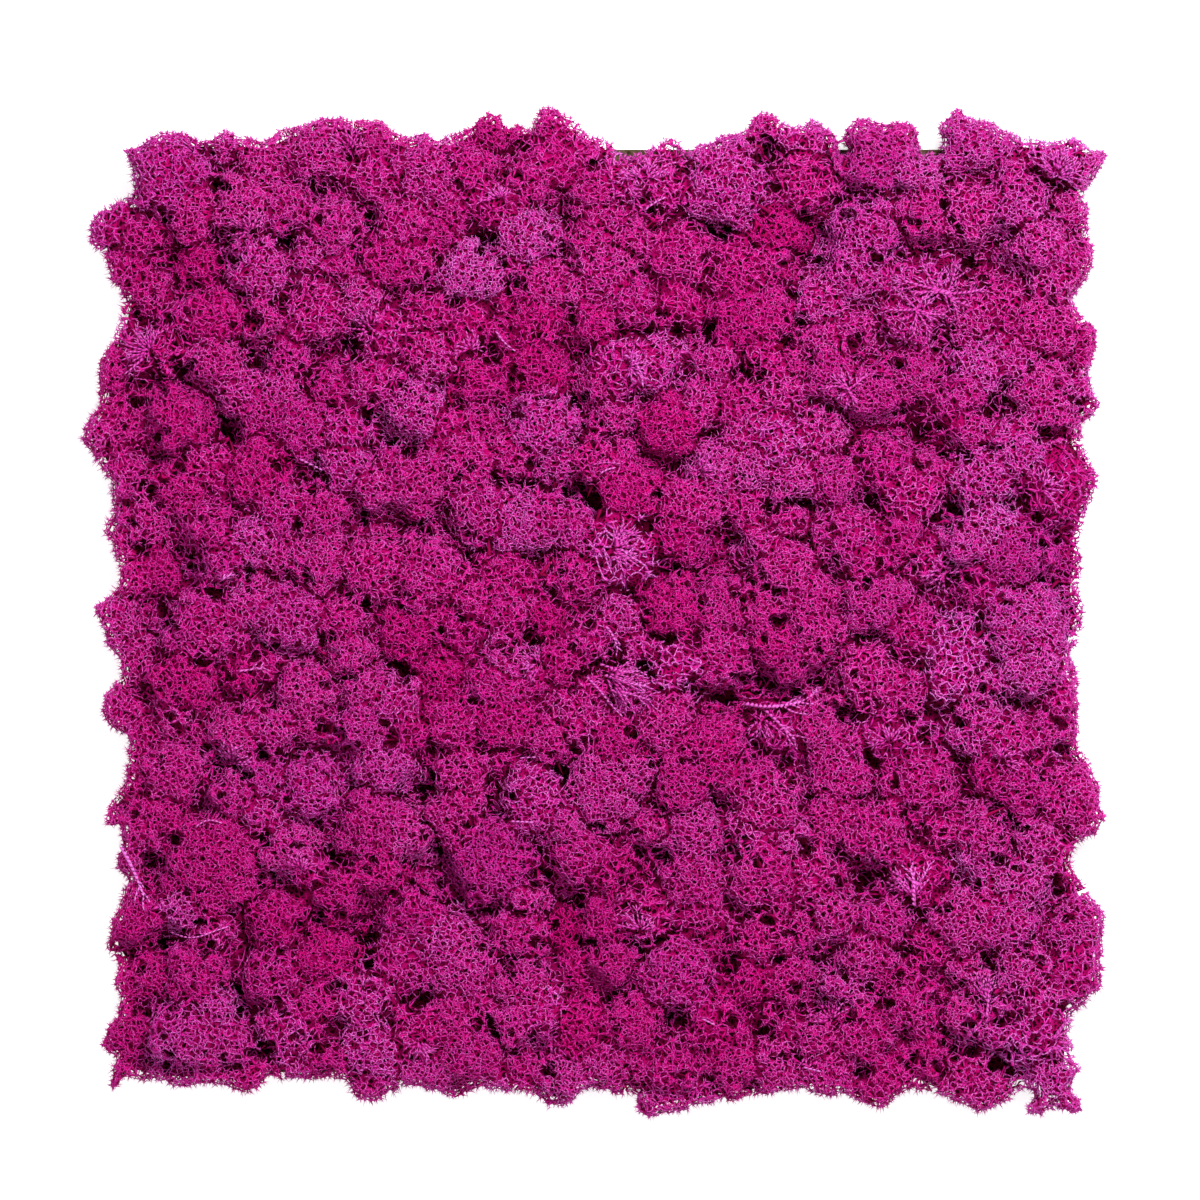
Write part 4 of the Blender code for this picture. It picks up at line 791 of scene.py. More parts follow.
j0 = np.minimum(fj.astype(int), away.shape[1] - 2)
ti = (fi - i0)[:, None].astype(np.float32)
tj = (fj - j0)[None, :].astype(np.float32)
depth_in = ((away[i0][:, j0] * (1 - tj) + away[i0][:, j0 + 1] * tj) * (1 - ti)
            + (away[i0 + 1][:, j0] * (1 - tj) + away[i0 + 1][:, j0 + 1] * tj) * ti)

# crevices and gaps between heads, with ragged rims
frayed = 1.3 * rough_field(11.0, 51) + 0.9 * rough_field(5.0, 53)
depth_in = depth_in + frayed * np.clip(1.0 - np.abs(depth_in) / 14.0, 0.0, 1.0)

ragged = 0.7 * rough_field(7.0, 41) + 0.5 * rough_field(3.5, 43)
pit = np.zeros((NY, NX), np.float32)
size_of = np.random.default_rng(47)
warp_x = 3.0 * rough_field(9.0, 71) + 1.4 * rough_field(4.5, 75)
warp_y = 3.0 * rough_field(9.0, 73) + 1.4 * rough_field(4.5, 77)
for hx, hy, ra, rb, rot in HOLES:
    share = HOLE_SHARE * (1.0 - 0.35 * min(max(min(ra, rb) - 6.0, 0.0) / 8.0, 1.0))
    share *= size_of.uniform(0.50, 1.10)
    ra, rb = ra * share, rb * share
    where, dx, dy = window(hx, hy, 1.7 * max(ra, rb) + 7)
    c, s = math.cos(math.radians(rot)), math.sin(math.radians(rot))
    dx, dy = dx + warp_x[where], dy + warp_y[where]
    rho = np.hypot((dx * c + dy * s) / ra, (dy * c - dx * s) / rb)
    small = min(ra, rb)
    rho = rho * (1.0 + 0.34 * ragged[where]) + 0.10 * ragged[where]
    i, j = cells_of(np.array([hx]), np.array([hy]))
    floor = max(9.0, float(H[i, j][0]) - 12.0 - 3.6 * small)
    wall = floor + np.maximum(rho - 0.78, 0.0) * small * 8.0
    H[where] = np.minimum(H[where], wall)
    pit[where] = np.maximum(pit[where], np.clip(1.40 - rho, 0.0, 1.0))

# the open axils: small dark holes all over the heads
dot = np.zeros((NY, NX), np.float32)
g = np.random.default_rng(61)
for y in np.arange(Y0 + 20, Y0 + NY * CELL - 20, DOT_PITCH * 0.866):
    for x in np.arange(X0 + 20, X0 + NX * CELL - 20, DOT_PITCH):
        hx, hy = x + g.uniform(-0.5, 0.5) * DOT_PITCH, y + g.uniform(-0.5, 0.5) * DOT_PITCH
        r = g.uniform(*DOT_R)
        squash, turn = g.uniform(0.65, 1.0), g.uniform(0, math.pi)
        i, j = int((hy - Y0) / CELL), int((hx - X0) / CELL)
        if depth_in[i, j] < 10.0:
            continue
        r *= GRADES[head_grade[owner[i, j]]]
        where, dx, dy = window(hx, hy, 1.6 * r + 1)
        c, s = math.cos(turn), math.sin(turn)
        rho = np.hypot((dx * c + dy * s) / r, (dy * c - dx * s) / (r * squash))
        dot[where] = np.maximum(dot[where], np.clip(1.6 - rho, 0.0, 1.0))

# the rim rounds down
bend = np.clip(1.0 - depth_in / 28.0, 0.0, 1.0)
H = np.minimum(H, RIM_H + 50.0 * np.sqrt(np.maximum(1.0 - bend * bend, 0.0))
               + np.maximum(depth_in - 28.0, 0.0) * 2.0).astype(np.float32)

soft = box_blur(box_blur(H, 2), 2)
slope_y, slope_x = np.gradient(soft, CELL)
fold = box_blur(box_blur(H, 10), 10) - H          # above 0 in creases


# ------------------------------------------------------------ where twigs are
def hex_plan(pitch, seed, jitter=0.30):
    g = np.random.default_rng(seed)
    ys = np.arange(Y0 + 3, Y0 + NY * CELL - 3, pitch * 0.8660)
    xs = np.arange(X0 + 3, X0 + NX * CELL - 3, pitch)
    x, y = np.meshgrid(xs, ys)
    x[1::2] += pitch / 2
    x = x.ravel() + g.uniform(-jitter, jitter, x.size) * pitch
    y = y.ravel() + g.uniform(-jitter, jitter, y.size) * pitch
    return x, y, g


def on_canopy(pitch, seed, flank=0.0, margin=0.0):
    """Plan positions spread over the canopy, coarser where a head is open."""
    found = []
    for grade, wide in enumerate(GRADES):
        rounds = 2 if flank > 0 else 1
        for turn in range(rounds):
            x, y, g = hex_plan(pitch * wide, seed + 10 * grade + 100 * turn)
            i, j = cells_of(x, y)
            own = owner[i, j]
            keep = (head_grade[own] == grade) & (depth_in[i, j] > margin)
            steep = np.hypot(slope_x[i, j], slope_y[i, j])
            if turn:
                more = np.clip((np.sqrt(1 + steep ** 2) - 1.3) * flank, 0, 0.85)
                keep &= g.uniform(0, 1, x.size) < more
            found.append(np.stack([x[keep], y[keep]], 1))
    p = np.concatenate(found)
    i, j = cells_of(p[:, 0], p[:, 1])
    own = owner[i, j].astype(int)
    sx, sy = slope_x[i, j], slope_y[i, j]
    n = np.stack([-sx, sy, np.ones(len(sx))], 1)
    flat = np.hypot(n[:, 0], n[:, 1])
    n[:, :2] *= (np.minimum(flat, 2.4) / np.maximum(flat, 1e-6))[:, None]
    n = unit(n)
    n[:, 0] += head_lean[own, 0]
    n[:, 1] += head_lean[own, 1]
    n = unit(n)
    pos = np.stack([p[:, 0], -p[:, 1], soft[i, j]], 1)
    clear = np.maximum(pit[i, j], np.where(dot[i, j] > 0.6, 2.0, 0.0))
    return pos, n, own, clear, fold[i, j], depth_in[i, j]


def walk_outline(pitch):
    """Even points along the outline, with outward directions."""
    seg = np.hypot(*(nxt - rim).T)
    at = np.concatenate([[0.0], np.cumsum(seg)])
    n = int(at[-1] / pitch)
    s = np.linspace(0, at[-1], n, endpoint=False)
    ring = np.concatenate([rim, rim[:1]])
    x = np.interp(s, at, ring[:, 0])
    y = np.interp(s, at, ring[:, 1])
    k = max(2, int(9 / pitch))
    tx = np.roll(x, -k) - np.roll(x, k)
    ty = np.roll(y, -k) - np.roll(y, k)
    size = np.maximum(np.hypot(tx, ty), 1e-6)
    nx_, ny_ = ty / size, -tx / size
    i, j = cells_of(x + 4 * nx_, y + 4 * ny_)
    if (depth_in[i, j] > 0).mean() > 0.5:
        nx_, ny_ = -nx_, -ny_
    i, j = cells_of(x, y)
    x, y = x + nx_ * frayed[i, j], y + ny_ * frayed[i, j]
    return x, y, nx_, ny_


def on_skirt(pitch, seed, lowest=2.0):
    """The tucked-under side of the moss, from the rim down to the board."""
    g = np.random.default_rng(seed)
    x, y, ox, oy = walk_outline(pitch)
    got = []
    rows = np.arange(RIM_H - 0.4 * pitch, lowest - 0.1, -pitch * 0.95)
    for h in rows:
        jx = g.uniform(-0.3, 0.3, x.size) * pitch
        hh = np.clip(h + g.uniform(-0.35, 0.35, x.size) * pitch, lowest, RIM_H + 1)
        tuck = 10.0 * (1.0 - hh / RIM_H).clip(0, 1) ** 2
        qx = x - ox * tuck - oy * jx
        qy = y - oy * tuck + ox * jx
        down = -0.9 * (1.0 - hh / RIM_H).clip(0, 1)
        pos = np.stack([qx, -qy, hh], 1)
        n = unit(np.stack([ox, -oy, down], 1) + g.normal(0, 0.22, (x.size, 3)))
        i, j = cells_of(x - ox * 3.0, y - oy * 3.0)
        got.append((pos, n, owner[i, j].astype(int)))
    # the steep part between the rim and the rounded heads
    for step in (0.75, 1.65):
        hh = RIM_H + (step + g.uniform(-0.35, 0.35, x.size)) * pitch
        inward = 28.0 - 28.0 * np.sqrt(1.0 - ((hh - RIM_H) / 50.0).clip(0, 1) ** 2)
        jx = g.uniform(-0.3, 0.3, x.size) * pitch
        pos = np.stack([x - ox * inward - oy * jx, -(y - oy * inward + ox * jx), hh], 1)
        n = unit(np.stack([ox, -oy, np.full(x.size, 0.15)], 1) + g.normal(0, 0.22, (x.size, 3)))
        i, j = cells_of(x - ox * 6.0, y - oy * 6.0)
        tall = H[i, j] > hh + 3.0
        i, j = cells_of(x - ox * 3.0, y - oy * 3.0)
        got.append((pos[tall], n[tall], owner[i, j].astype(int)[tall]))
    pos = np.concatenate([a for a, _, _ in got])
    n = np.concatenate([b for _, b, _ in got])
    own = np.concatenate([c for _, _, c in got])
    # nothing may sit inside the board
    bx = np.abs((pos[:, 0] - MID_X) * STEP)
    by = np.abs((pos[:, 1] + MID_Y) * STEP)
    clear = (np.maximum(bx, by) > HALF_BOARD + 0.001) | (pos[:, 2] > 2.0)
    return pos[clear], n[clear], own[clear]


g = np.random.default_rng(77)


def forks(pitch, depth, seed, skirt_pitch, flank=0.45, margin=0.5, shy=0.75, low=1.2):
    """Forking points at one depth under the canopy and the skirt."""
    p, n, own, pt, fd, din = on_canopy(pitch, seed, flank=flank, margin=margin)
    ok = (pt < shy) | ((g.uniform(0, 1, len(p)) < 0.25) & (pt <= 1.0))
    p, n, own, din, pt = p[ok], n[ok], own[ok], din[ok], pt[ok]
    q, m, o = on_skirt(skirt_pitch, seed + 5, lowest=3.0)
    p, n, own = np.concatenate([p, q]), np.concatenate([n, m]), np.concatenate([own, o])
    din = np.concatenate([din, np.zeros(len(q))])
    pt = np.concatenate([pt, np.zeros(len(q))])
    wide = GRADES[head_grade[own]]
    p = p - n * (depth * wide)[:, None]
    p[:, 2] = np.maximum(p[:, 2], low)
    return p, n, own, din, pt


def by_head(own):
    order = np.argsort(own, kind="stable")
    first = np.searchsorted(own[order], np.arange(N_HEADS + 1))
    return order, first


def join(child, child_own, parent, parent_own, longest):
    """Nearest fork below each twig, within its own head."""
    link = np.full(len(child), -1)
    co, cf = by_head(child_own)
    po, pf = by_head(parent_own)
    for k in range(N_HEADS):
        c, p = co[cf[k]:cf[k + 1]], po[pf[k]:pf[k + 1]]
        if len(c) == 0 or len(p) == 0:
            continue
        d = ((child[c][:, None] - parent[p][None]) ** 2).sum(2)
        best = d.argmin(1)
        near = d[np.arange(len(c)), best] < (longest * GRADES[head_grade[k]]) ** 2
        link[c[near]] = p[best[near]]
    return link


def nearest(points, many):
    """Each point's nearest neighbours: their places in the list, and how far."""
    tree = kdtree.KDTree(len(points))
    for k, p in enumerate(points):
        tree.insert(p, k)
    tree.balance()
    near = np.zeros((len(points), many), int)
    far = np.full((len(points), many), 1e9)
    for k, p in enumerate(points):
        for slot, (_, m, d) in enumerate(tree.find_n(p, many + 1)[1:]):
            near[k, slot], far[k, slot] = m, d
    return near, far


def net(points, own, reach, loose):
    """Pairs of neighbouring forks that no third fork stands between."""
    near, far = nearest(points, 8)
    here = np.arange(len(points))
    longest = reach * GRADES[head_grade[own]]
    first, second = [], []
    for slot in range(8):
        other, d = near[:, slot], far[:, slot]
        ok = (head_tuft[own[other]] == head_tuft[own]) & (d < longest) & (other > here)
        for nearer in range(slot):
            third = near[:, nearer]
            ok &= np.linalg.norm(points[third] - points[other], axis=1) >= d * loose
        first.append(here[ok])
        second.append(other[ok])
    return np.concatenate(first), np.concatenate(second)


# the free ends, and the forks just under them, which grow into a net
tips, tips_n, tips_own, tips_in, tips_pit = forks(TIP_PITCH, TIP_DEPTH, 1, 3.6, flank=0.36, margin=-1.5, shy=0.55, low=2.0)
lift = g.normal(0.0, 0.9, len(tips))
edge = tips_in < 5.0
lift[edge] += g.exponential(2.3, edge.sum())
tips = tips + tips_n * lift[:, None]
twig, twig_n, twig_own, twig_in, twig_pit = forks(TWIG_PITCH, 1.5, 211, 5.0, flank=0.36)
twig = twig + twig_n * g.normal(0.0, 0.75, len(twig))[:, None]
tip_to = join(tips, tips_own, twig, twig_own, 7.0)
good = (tip_to >= 0) & (g.uniform(0, 1, len(tips)) > 0.5 * head_fan[tips_own])
tips, tips_own, tips_n, tip_to = tips[good], tips_own[good], tips_n[good], tip_to[good]
tips_in, tips_pit = tips_in[good], tips_pit[good]
net_a, net_b = net(twig, twig_own, 9.5, NET_LOOSE)
keep = g.uniform(0, 1, len(net_a)) < head_net[twig_own[net_a]]
net_a, net_b = net_a[keep], net_b[keep]

# the branches that carry all
branch, branch_n, branch_own, _, _ = forks(BRANCH_PITCH, 6.4, 307, 8.4, flank=0.3)
limb, limb_n, limb_own, _, _ = forks(15.5, 12.0, 351, 14.0, flank=0.3)
stem, stem_n, stem_own, _, _ = forks(25.0, 20.0, 401, 24.0, flank=0.3)
twig_to = join(twig, twig_own, branch, branch_own, 12.0)
branch_to = join(branch, branch_own, limb, limb_own, 15.0)
limb_to = join(limb, limb_own, stem, stem_own, 28.0)

# a second, broader net half way down the twigs
has = np.flatnonzero((twig_to >= 0) & (g.uniform(0, 1, len(twig)) < INNER_SHARE))
part_way = g.uniform(0.30, 0.72, len(has))[:, None]
inner = branch[twig_to[has]] * (1.0 - part_way) + twig[has] * part_way
inner_own, inner_pit = twig_own[has], twig_pit[has]
inner_a, inner_b = net(inner, inner_own, 12.0, NET_LOOSE)

# --------------------------------------------------------------- twig meshes
made = {"v": [], "f": [], "uv": [], "t": []}
total = 0


def sideways(d, roll):
    """Two directions square to each twig, the first level before its roll."""
    level = np.stack([-d[:, 1], d[:, 0], np.zeros(len(d))], 1)
    short = np.linalg.norm(level, axis=1) < 0.05
    level[short] = (1.0, 0.0, 0.0)
    level = unit(level)
    up = np.cross(level, d)
    c, s = np.cos(roll)[:, None], np.sin(roll)[:, None]
    return level * c + up * s, up * c - level * s


def add(v, faces, tone, hue, tuft):
    """v: (n, k, 3); faces: (m, 3) local; tone: (n, k); hue: (n, k)."""
    n, k, _ = v.shape
    made["v"].append(v)
    made["f"].append(np.asarray(faces))
    made["uv"].append(np.stack([tone, hue], 2))
    made["t"].append(tuft)


STRAND = ((0, 1, 2), (1, 0, 3), (2, 3, 0), (3, 2, 1))
SPIKE = ((0, 1, 3), (1, 2, 3), (2, 0, 3))


def ring3(a, s, u, r):
    top = a + u * r[:, None]
    low = a - u * (0.5 * r)[:, None]
    side = s * (0.87 * r)[:, None]
    return top, low + side, low - side


def strands(a, b, ra, tone_a, tone_b, hue, tuft, g):
    """Twigs of one thickness from fork to fork, four-faced."""
    d = unit(b - a)
    s, u = sideways(d, g.uniform(-0.3, 0.3, len(a)))
    v = np.empty((len(a), 4, 3))
    r = ra[:, None]
    v[:, 0], v[:, 1] = a + (s + u) * r, a - (s + u) * r
    v[:, 2], v[:, 3] = b + (s - u) * r, b - (s - u) * r
    tone = np.stack([tone_a, tone_a, tone_b, tone_b], 1)
    add(v, STRAND, tone, hue[:, None] + np.array([0.008, -0.008, 0.004, -0.004]), tuft)


def spikes(a, b, ra, tone_a, tone_b, hue, tuft, g):
    """Free ends, which run out to a point."""
    d = unit(b - a)
    s, u = sideways(d, g.uniform(-0.6, 0.6, len(a)))
    v = np.empty((len(a), 4, 3))
    v[:, 0], v[:, 1], v[:, 2] = ring3(a, s, u, ra)
    v[:, 3] = b
    tone = np.stack([tone_a, tone_a, tone_a, tone_b], 1)
    off = np.array([0.0, 0.008, -0.008, 0.0])
    add(v, SPIKE, tone, hue[:, None] + off, tuft)


def tint(own, spread):
    return np.clip(head_hue[own] + g.normal(0, spread, len(own)), 0.02, 0.98)


twig_hue = tint(twig_own, 0.10)
twig_thick = g.uniform(0.88, 1.15, len(twig)) * (0.55 + 0.45 * GRADES[head_grade[twig_own]])
n_tris = 0

def inside(p, margin):
    i, j = cells_of(p[:, 0], -p[:, 1])
    return depth_in[i, j] > margin


def past(a, b, more):
    """A twig runs on past its fork and ends a little beyond it."""
    return b + unit(b - a) * more[:, None]


a, b = twig[tip_to], tips
hue = np.clip(twig_hue[tip_to] + g.normal(0, 0.05, len(b)), 0.02, 0.98)
# tips in pits painted darker as shade, times each head's tone
pit_shade_and_tone = 1.0 - 0.25 * tips_pit
pit_shade_and_tone = pit_shade_and_tone * head_tone[tips_own]
spikes(a, past(a, b, g.uniform(0.2, 1.2, len(b))), TIP_R * twig_thick[tip_to],
       np.minimum(TONE_A * pit_shade_and_tone, 1.0), np.minimum(g.uniform(0.76, 1.0, len(b)) * pit_shade_and_tone, 1.0), hue,
       head_tuft[tips_own], g)

a, b = twig[net_a], twig[net_b]
thick = NET_R * 0.5 * (twig_thick[net_a] + twig_thick[net_b])
open_net = head_grade[twig_own[net_a]] >= BOWED_FROM
hue = np.clip(0.5 * (twig_hue[net_a] + twig_hue[net_b]), 0.02, 0.98)
# net twigs in pits painted darker as shade
tone = g.uniform(0.60, 0.98, len(a)) * (1.0 - 0.25 * twig_pit[net_a]) * head_tone[twig_own[net_a]]
tone = np.minimum(tone, 1.0)
tuft_of = head_tuft[twig_own[net_a]]
m = ~open_net
strands(a[m], b[m], thick[m], tone[m], tone[m], hue[m], tuft_of[m], g)
m = open_net
middle = 0.5 * (a[m] + b[m]) + 0.5 * (twig_n[net_a[m]] + twig_n[net_b[m]]) * g.uniform(0.2, 1.4, m.sum())[:, None]
middle += g.normal(0, 0.5, (m.sum(), 3)) * GRADES[head_grade[twig_own[net_a[m]]]][:, None]
strands(a[m], past(a[m], middle, np.full(m.sum(), 0.3)), thick[m], tone[m], tone[m], hue[m], tuft_of[m], g)
strands(b[m], past(b[m], middle, np.full(m.sum(), 0.3)), thick[m], tone[m], tone[m], hue[m], tuft_of[m], g)

used = np.zeros(len(twig), bool)
used[tip_to] = used[net_a] = used[net_b] = True
ok = (twig_to >= 0) & used & inside(branch[twig_to], 1.0)
a, b = branch[twig_to[ok]], twig[ok]
spikes(a, past(a, b, g.uniform(1.4, 3.0, len(a)) * GRADES[head_grade[twig_own[ok]]]),
       TWIG_R * twig_thick[ok], np.full(ok.sum(), TONE_B),
       np.minimum(g.uniform(0.80, 0.96, len(a)) * head_tone[twig_own[ok]], 1.0),
       twig_hue[ok], head_tuft[twig_own[ok]], g)

a, b = inner[inner_a], inner[inner_b]
# the inner net painted darker than the top net as shade lower down, and darker still in pits
tone = g.uniform(0.42, 0.74, len(a)) * (1.0 - 0.4 * inner_pit[inner_a]) * head_tone[inner_own[inner_a]]
strands(a, b, INNER_R * g.uniform(0.8, 1.2, len(a)), tone, tone, tint(inner_own[inner_a], 0.12),
        head_tuft[inner_own[inner_a]], g)

ok = (branch_to >= 0) & inside(limb[branch_to], 3.0)
a, b = limb[branch_to[ok]], branch[ok]
spikes(a, past(a, b, g.uniform(2.5, 4.5, len(a))), np.full(len(a), 1.6),
       np.full(len(a), TONE_C), np.full(len(a), TONE_B), tint(branch_own[ok], 0.06),
       head_tuft[branch_own[ok]], g)
ok = (limb_to >= 0) & inside(stem[limb_to], 6.0) & inside(limb, 4.0)
spikes(stem[limb_to[ok]], past(stem[limb_to[ok]], limb[ok], np.full(ok.sum(), 4.0)), np.full(ok.sum(), 2.4),
       np.full(ok.sum(), TONE_D), np.full(ok.sum(), TONE_C), tint(limb_own[ok], 0.06),
       head_tuft[limb_own[ok]], g)

foot = stem.copy()
foot[:, 2] = np.maximum(stem[:, 2] - 16.0, 0.8)
centre = np.stack([head_xy[stem_own, 0], -head_xy[stem_own, 1]], 1)
foot[:, :2] += (centre - foot[:, :2]) * 0.35
inside_board = (np.abs(foot[:, 0] - MID_X) * STEP < HALF_BOARD - 0.004) & (
    np.abs(foot[:, 1] + MID_Y) * STEP < HALF_BOARD - 0.004)
ok = (stem[:, 2] - foot[:, 2] > 3.0) & inside_board & inside(stem, 8.0) & inside(foot, 8.0)
# stems painted near black at the foot, as shade down by the board
spikes(foot[ok], past(foot[ok], stem[ok], np.full(ok.sum(), 5.0)), np.full(ok.sum(), 2.6),
       np.full(ok.sum(), 0.02), np.full(ok.sum(), TONE_D), head_hue[stem_own[ok]],
       head_tuft[stem_own[ok]], g)

# long twigs that lie bare on top: single ones, and the fans of open heads
laid = []


def lay(points, ra, rb, tone_a, tone_b, hue, rise, guard=1.5):
    """A twig along a bent line (x, y), following the canopy."""
    q = np.array(points, float)
    far = np.concatenate([[0.0], np.cumsum(np.hypot(*np.diff(q, axis=0).T))])
    n = max(2, int(round(far[-1] / 4.5)) + 1)
    s = np.linspace(0.0, far[-1], n)
    x, y = np.interp(s, far, q[:, 0]), np.interp(s, far, q[:, 1])
    for turn in range(2):
        x[1:-1] = 0.25 * x[:-2] + 0.5 * x[1:-1] + 0.25 * x[2:]
        y[1:-1] = 0.25 * y[:-2] + 0.5 * y[1:-1] + 0.25 * y[2:]
    i, j = cells_of(x, y)
    if depth_in[i, j].min() < guard:
        return
    t = s / far[-1]
    h = soft[i, j]
    h = np.convolve(np.pad(h, 1, mode="edge"), (0.25, 0.5, 0.25), "valid") + rise
    p = np.stack([x, -y, h], 1)
    r = ra + (rb - ra) * t
    tone = tone_a + (tone_b - tone_a) * t
    head = int(owner[i[0], j[0]])
    laid.append((p[:-1], p[1:], 0.5 * (r[:-1] + r[1:]), tone[:-1], tone[1:],
                 np.full(n - 1, hue), np.full(n - 1, head)))


f = np.random.default_rng(91)
# laid twigs, here and in the fans below, are painted darker at their start than at their end, the same painted
# shade towards the foot
for points, ra, rb, tone, hue in LONG_TWIGS:
    lay(points, ra, rb, 0.86 * tone, tone, hue, 2.4 if ra > 1.35 else 1.9, guard=-7.0)
    if ra < 1.15:
        continue
    # antlers on the stouter ones
    (x0, y0), (x1, y1) = points[-2], points[-1]
    a = math.atan2(y1 - y0, x1 - x0)
    far = math.hypot(x1 - x0, y1 - y0)
    side = 1
    for t in (0.15, 0.45, 0.75, 0.95):
        side = -side
        way = a + side * math.radians(f.uniform(28, 58))
        at = (x0 + (x1 - x0) * t, y0 + (y1 - y0) * t)
        short = far * f.uniform(0.40, 0.75)
        lay([at, (at[0] + 0.5 * short * math.cos(way), at[1] + 0.5 * short * math.sin(way)),
             (at[0] + short * math.cos(way - 0.3 * side), at[1] + short * math.sin(way - 0.3 * side))],
            0.62 * ra, 0.5, 0.84 * tone, tone, hue, 1.7)
for x, y, reach, turn_a, turn_b, many, hue in FANS:
    for k in range(many):
        a = math.radians(turn_a + (turn_b - turn_a) * (k + f.uniform(0.2, 0.8)) / many)
        far = reach * f.uniform(0.50, 1.0)
        bend = math.radians(f.uniform(-20, 20))
        start = f.uniform(0.10, 0.45)
        line, x1, y1 = [], x + far * start * math.cos(a), y - far * start * math.sin(a)
        for m in range(4):
            line.append((x1, y1))
            x1 += far * (1 - start) / 3 * math.cos(a + bend * m / 3)
            y1 -= far * (1 - start) / 3 * math.sin(a + bend * m / 3)
        own_hue = min(max(hue + f.uniform(-0.12, 0.12), 0.02), 0.98)
        low = f.uniform(1.4, 4.0)
        lay(line, f.uniform(0.90, 1.35), 0.55, f.uniform(0.62, 0.78), f.uniform(0.80, 0.95), own_hue, low)
        for side in (-1, 1):
            if f.uniform() < 0.75:
                at = line[f.integers(1, 3)]
                way = a + bend * 0.6 + side * math.radians(f.uniform(25, 50))
                short = reach * f.uniform(0.18, 0.36)
                lay([at, (at[0] + short * math.cos(way), at[1] - short * math.sin(way))],
                    0.68, 0.50, 0.76, 0.92, own_hue, low)
a, b, r, tone_a, tone_b, hue, own = (np.concatenate(z) for z in zip(*laid))
strands(a, past(a, b, np.full(len(a), 0.5)), r, tone_a, tone_b, hue, head_tuft[own], f)


# ----------------------------------------------------------------- materials
def shader(name, rough, specular):
    mat = bpy.data.materials.new(name)
    mat.use_nodes = True
    nt = mat.node_tree
    p = nt.nodes["Principled BSDF"]
    p.inputs["Roughness"].default_value = rough
    p.inputs["Specular IOR Level"].default_value = specular
    return mat, nt, p


def ramp(nt, factor, stops):
    node = nt.nodes.new("ShaderNodeValToRGB")
    while len(node.color_ramp.elements) < len(stops):
        node.color_ramp.elements.new(0.5)
    for el, (at, col) in zip(node.color_ramp.elements, stops):
        el.position, el.color = at, (*col, 1.0)
    nt.links.new(factor, node.inputs["Fac"])
    return node.outputs["Color"]


def lichen(name):
    """Dyed lichen: the red or violet tint is the dye; darker and redder down the twig is painted shade, and paler
    violet at the tip is a painted sheen highlight.
    """
    mat, nt, p = shader(name, 0.8, 0.06)
    uv = nt.nodes.new("ShaderNodeUVMap")
    uv.uv_map = "OFBake"
    sep = nt.nodes.new("ShaderNodeSeparateXYZ")
    nt.links.new(uv.outputs["UV"], sep.inputs["Vector"])
    red = ramp(nt, sep.outputs["X"], RED_DYE_SHADE_TO_SHEEN)
    violet = ramp(nt, sep.outputs["X"], VIOLET_DYE_SHADE_TO_SHEEN)
    mix = nt.nodes.new("ShaderNodeMix")
    mix.data_type = "RGBA"
    nt.links.new(sep.outputs["Y"], mix.inputs["Factor"])
    nt.links.new(red, mix.inputs["A"])
    nt.links.new(violet, mix.inputs["B"])
    nt.links.new(mix.outputs["Result"], p.inputs["Base Color"])
    return mat


def dense_inside():
    """The matted depth of a tuft: a web of twigs with painted black shade between them, painted darker still
    where the core lies deep.
    """
    mat, nt, p = shader("moss_matted_inside", 0.9, 0.03)
    co = nt.nodes.new("ShaderNodeTexCoord")
    bend = nt.nodes.new("ShaderNodeTexNoise")
    bend.inputs["Scale"].default_value = 260.0
    bend.inputs["Detail"].default_value = 2.0
    nt.links.new(co.outputs["Object"], bend.inputs["Vector"])
    move = nt.nodes.new("ShaderNodeVectorMath")
    move.operation = "MULTIPLY_ADD"
    move.inputs[1].default_value = (0.004, 0.004, 0.004)
    nt.links.new(bend.outputs["Color"], move.inputs[0])
    nt.links.new(co.outputs["Object"], move.inputs[2])
    web = nt.nodes.new("ShaderNodeTexVoronoi")
    web.feature = "DISTANCE_TO_EDGE"
    web.inputs["Scale"].default_value = 360.0
    nt.links.new(move.outputs["Vector"], web.inputs["Vector"])
    painted_shade_attr = nt.nodes.new("ShaderNodeAttribute")
    painted_shade_attr.attribute_name = "painted_core_shade"
    mix = nt.nodes.new("ShaderNodeMix")
    mix.data_type = "RGBA"
    nt.links.new(painted_shade_attr.outputs["Fac"], mix.inputs["Factor"])
    nt.links.new(ramp(nt, web.outputs["Distance"], MATTED), mix.inputs["A"])
    nt.links.new(ramp(nt, web.outputs["Distance"], MATTED_PAINTED_SHADE), mix.inputs["B"])
    nt.links.new(mix.outputs["Result"], p.inputs["Base Color"])
    return mat


pink = lichen("moss_pink_twigs")
deep = lichen("moss_magenta_twigs")
matted = dense_inside()

# --------------------------------------------------- one mesh for each tuft
parts = {k: {"v": [], "f": [], "uv": []} for k in range(len(TUFTS))}
for v, f, uv, t in zip(made["v"], made["f"], made["uv"], made["t"]):
    for k in range(len(TUFTS)):
        sel = np.flatnonzero(t == k)
        if len(sel) == 0:
            continue
        parts[k]["v"].append(v[sel].reshape(-1, 3))
        parts[k]["uv"].append(uv[sel].reshape(-1, 2))
        parts[k]["f"].append((f[None] + (np.arange(len(sel)) * v.shape[1])[:, None, None]).reshape(-1, 3))

# the dense inside of each tuft, a closed mound under the twigs
PACE = 9.5
coarse = lowest_near(H, 8)
cols = int((1128 - X0) / PACE)
rows = int((1128 - Y0) / PACE)
cx = X0 + PACE * (np.arange(cols + 1))
cy = Y0 + PACE * (np.arange(rows + 1))
qx, qy = np.meshgrid(cx, cy)
i, j = cells_of(qx.ravel(), qy.ravel())
node_h = np.maximum(coarse[i, j] - CORE_DEPTH, 3.0).reshape(qx.shape)
wide_h = box_blur(H, 24)[i, j].reshape(qx.shape)
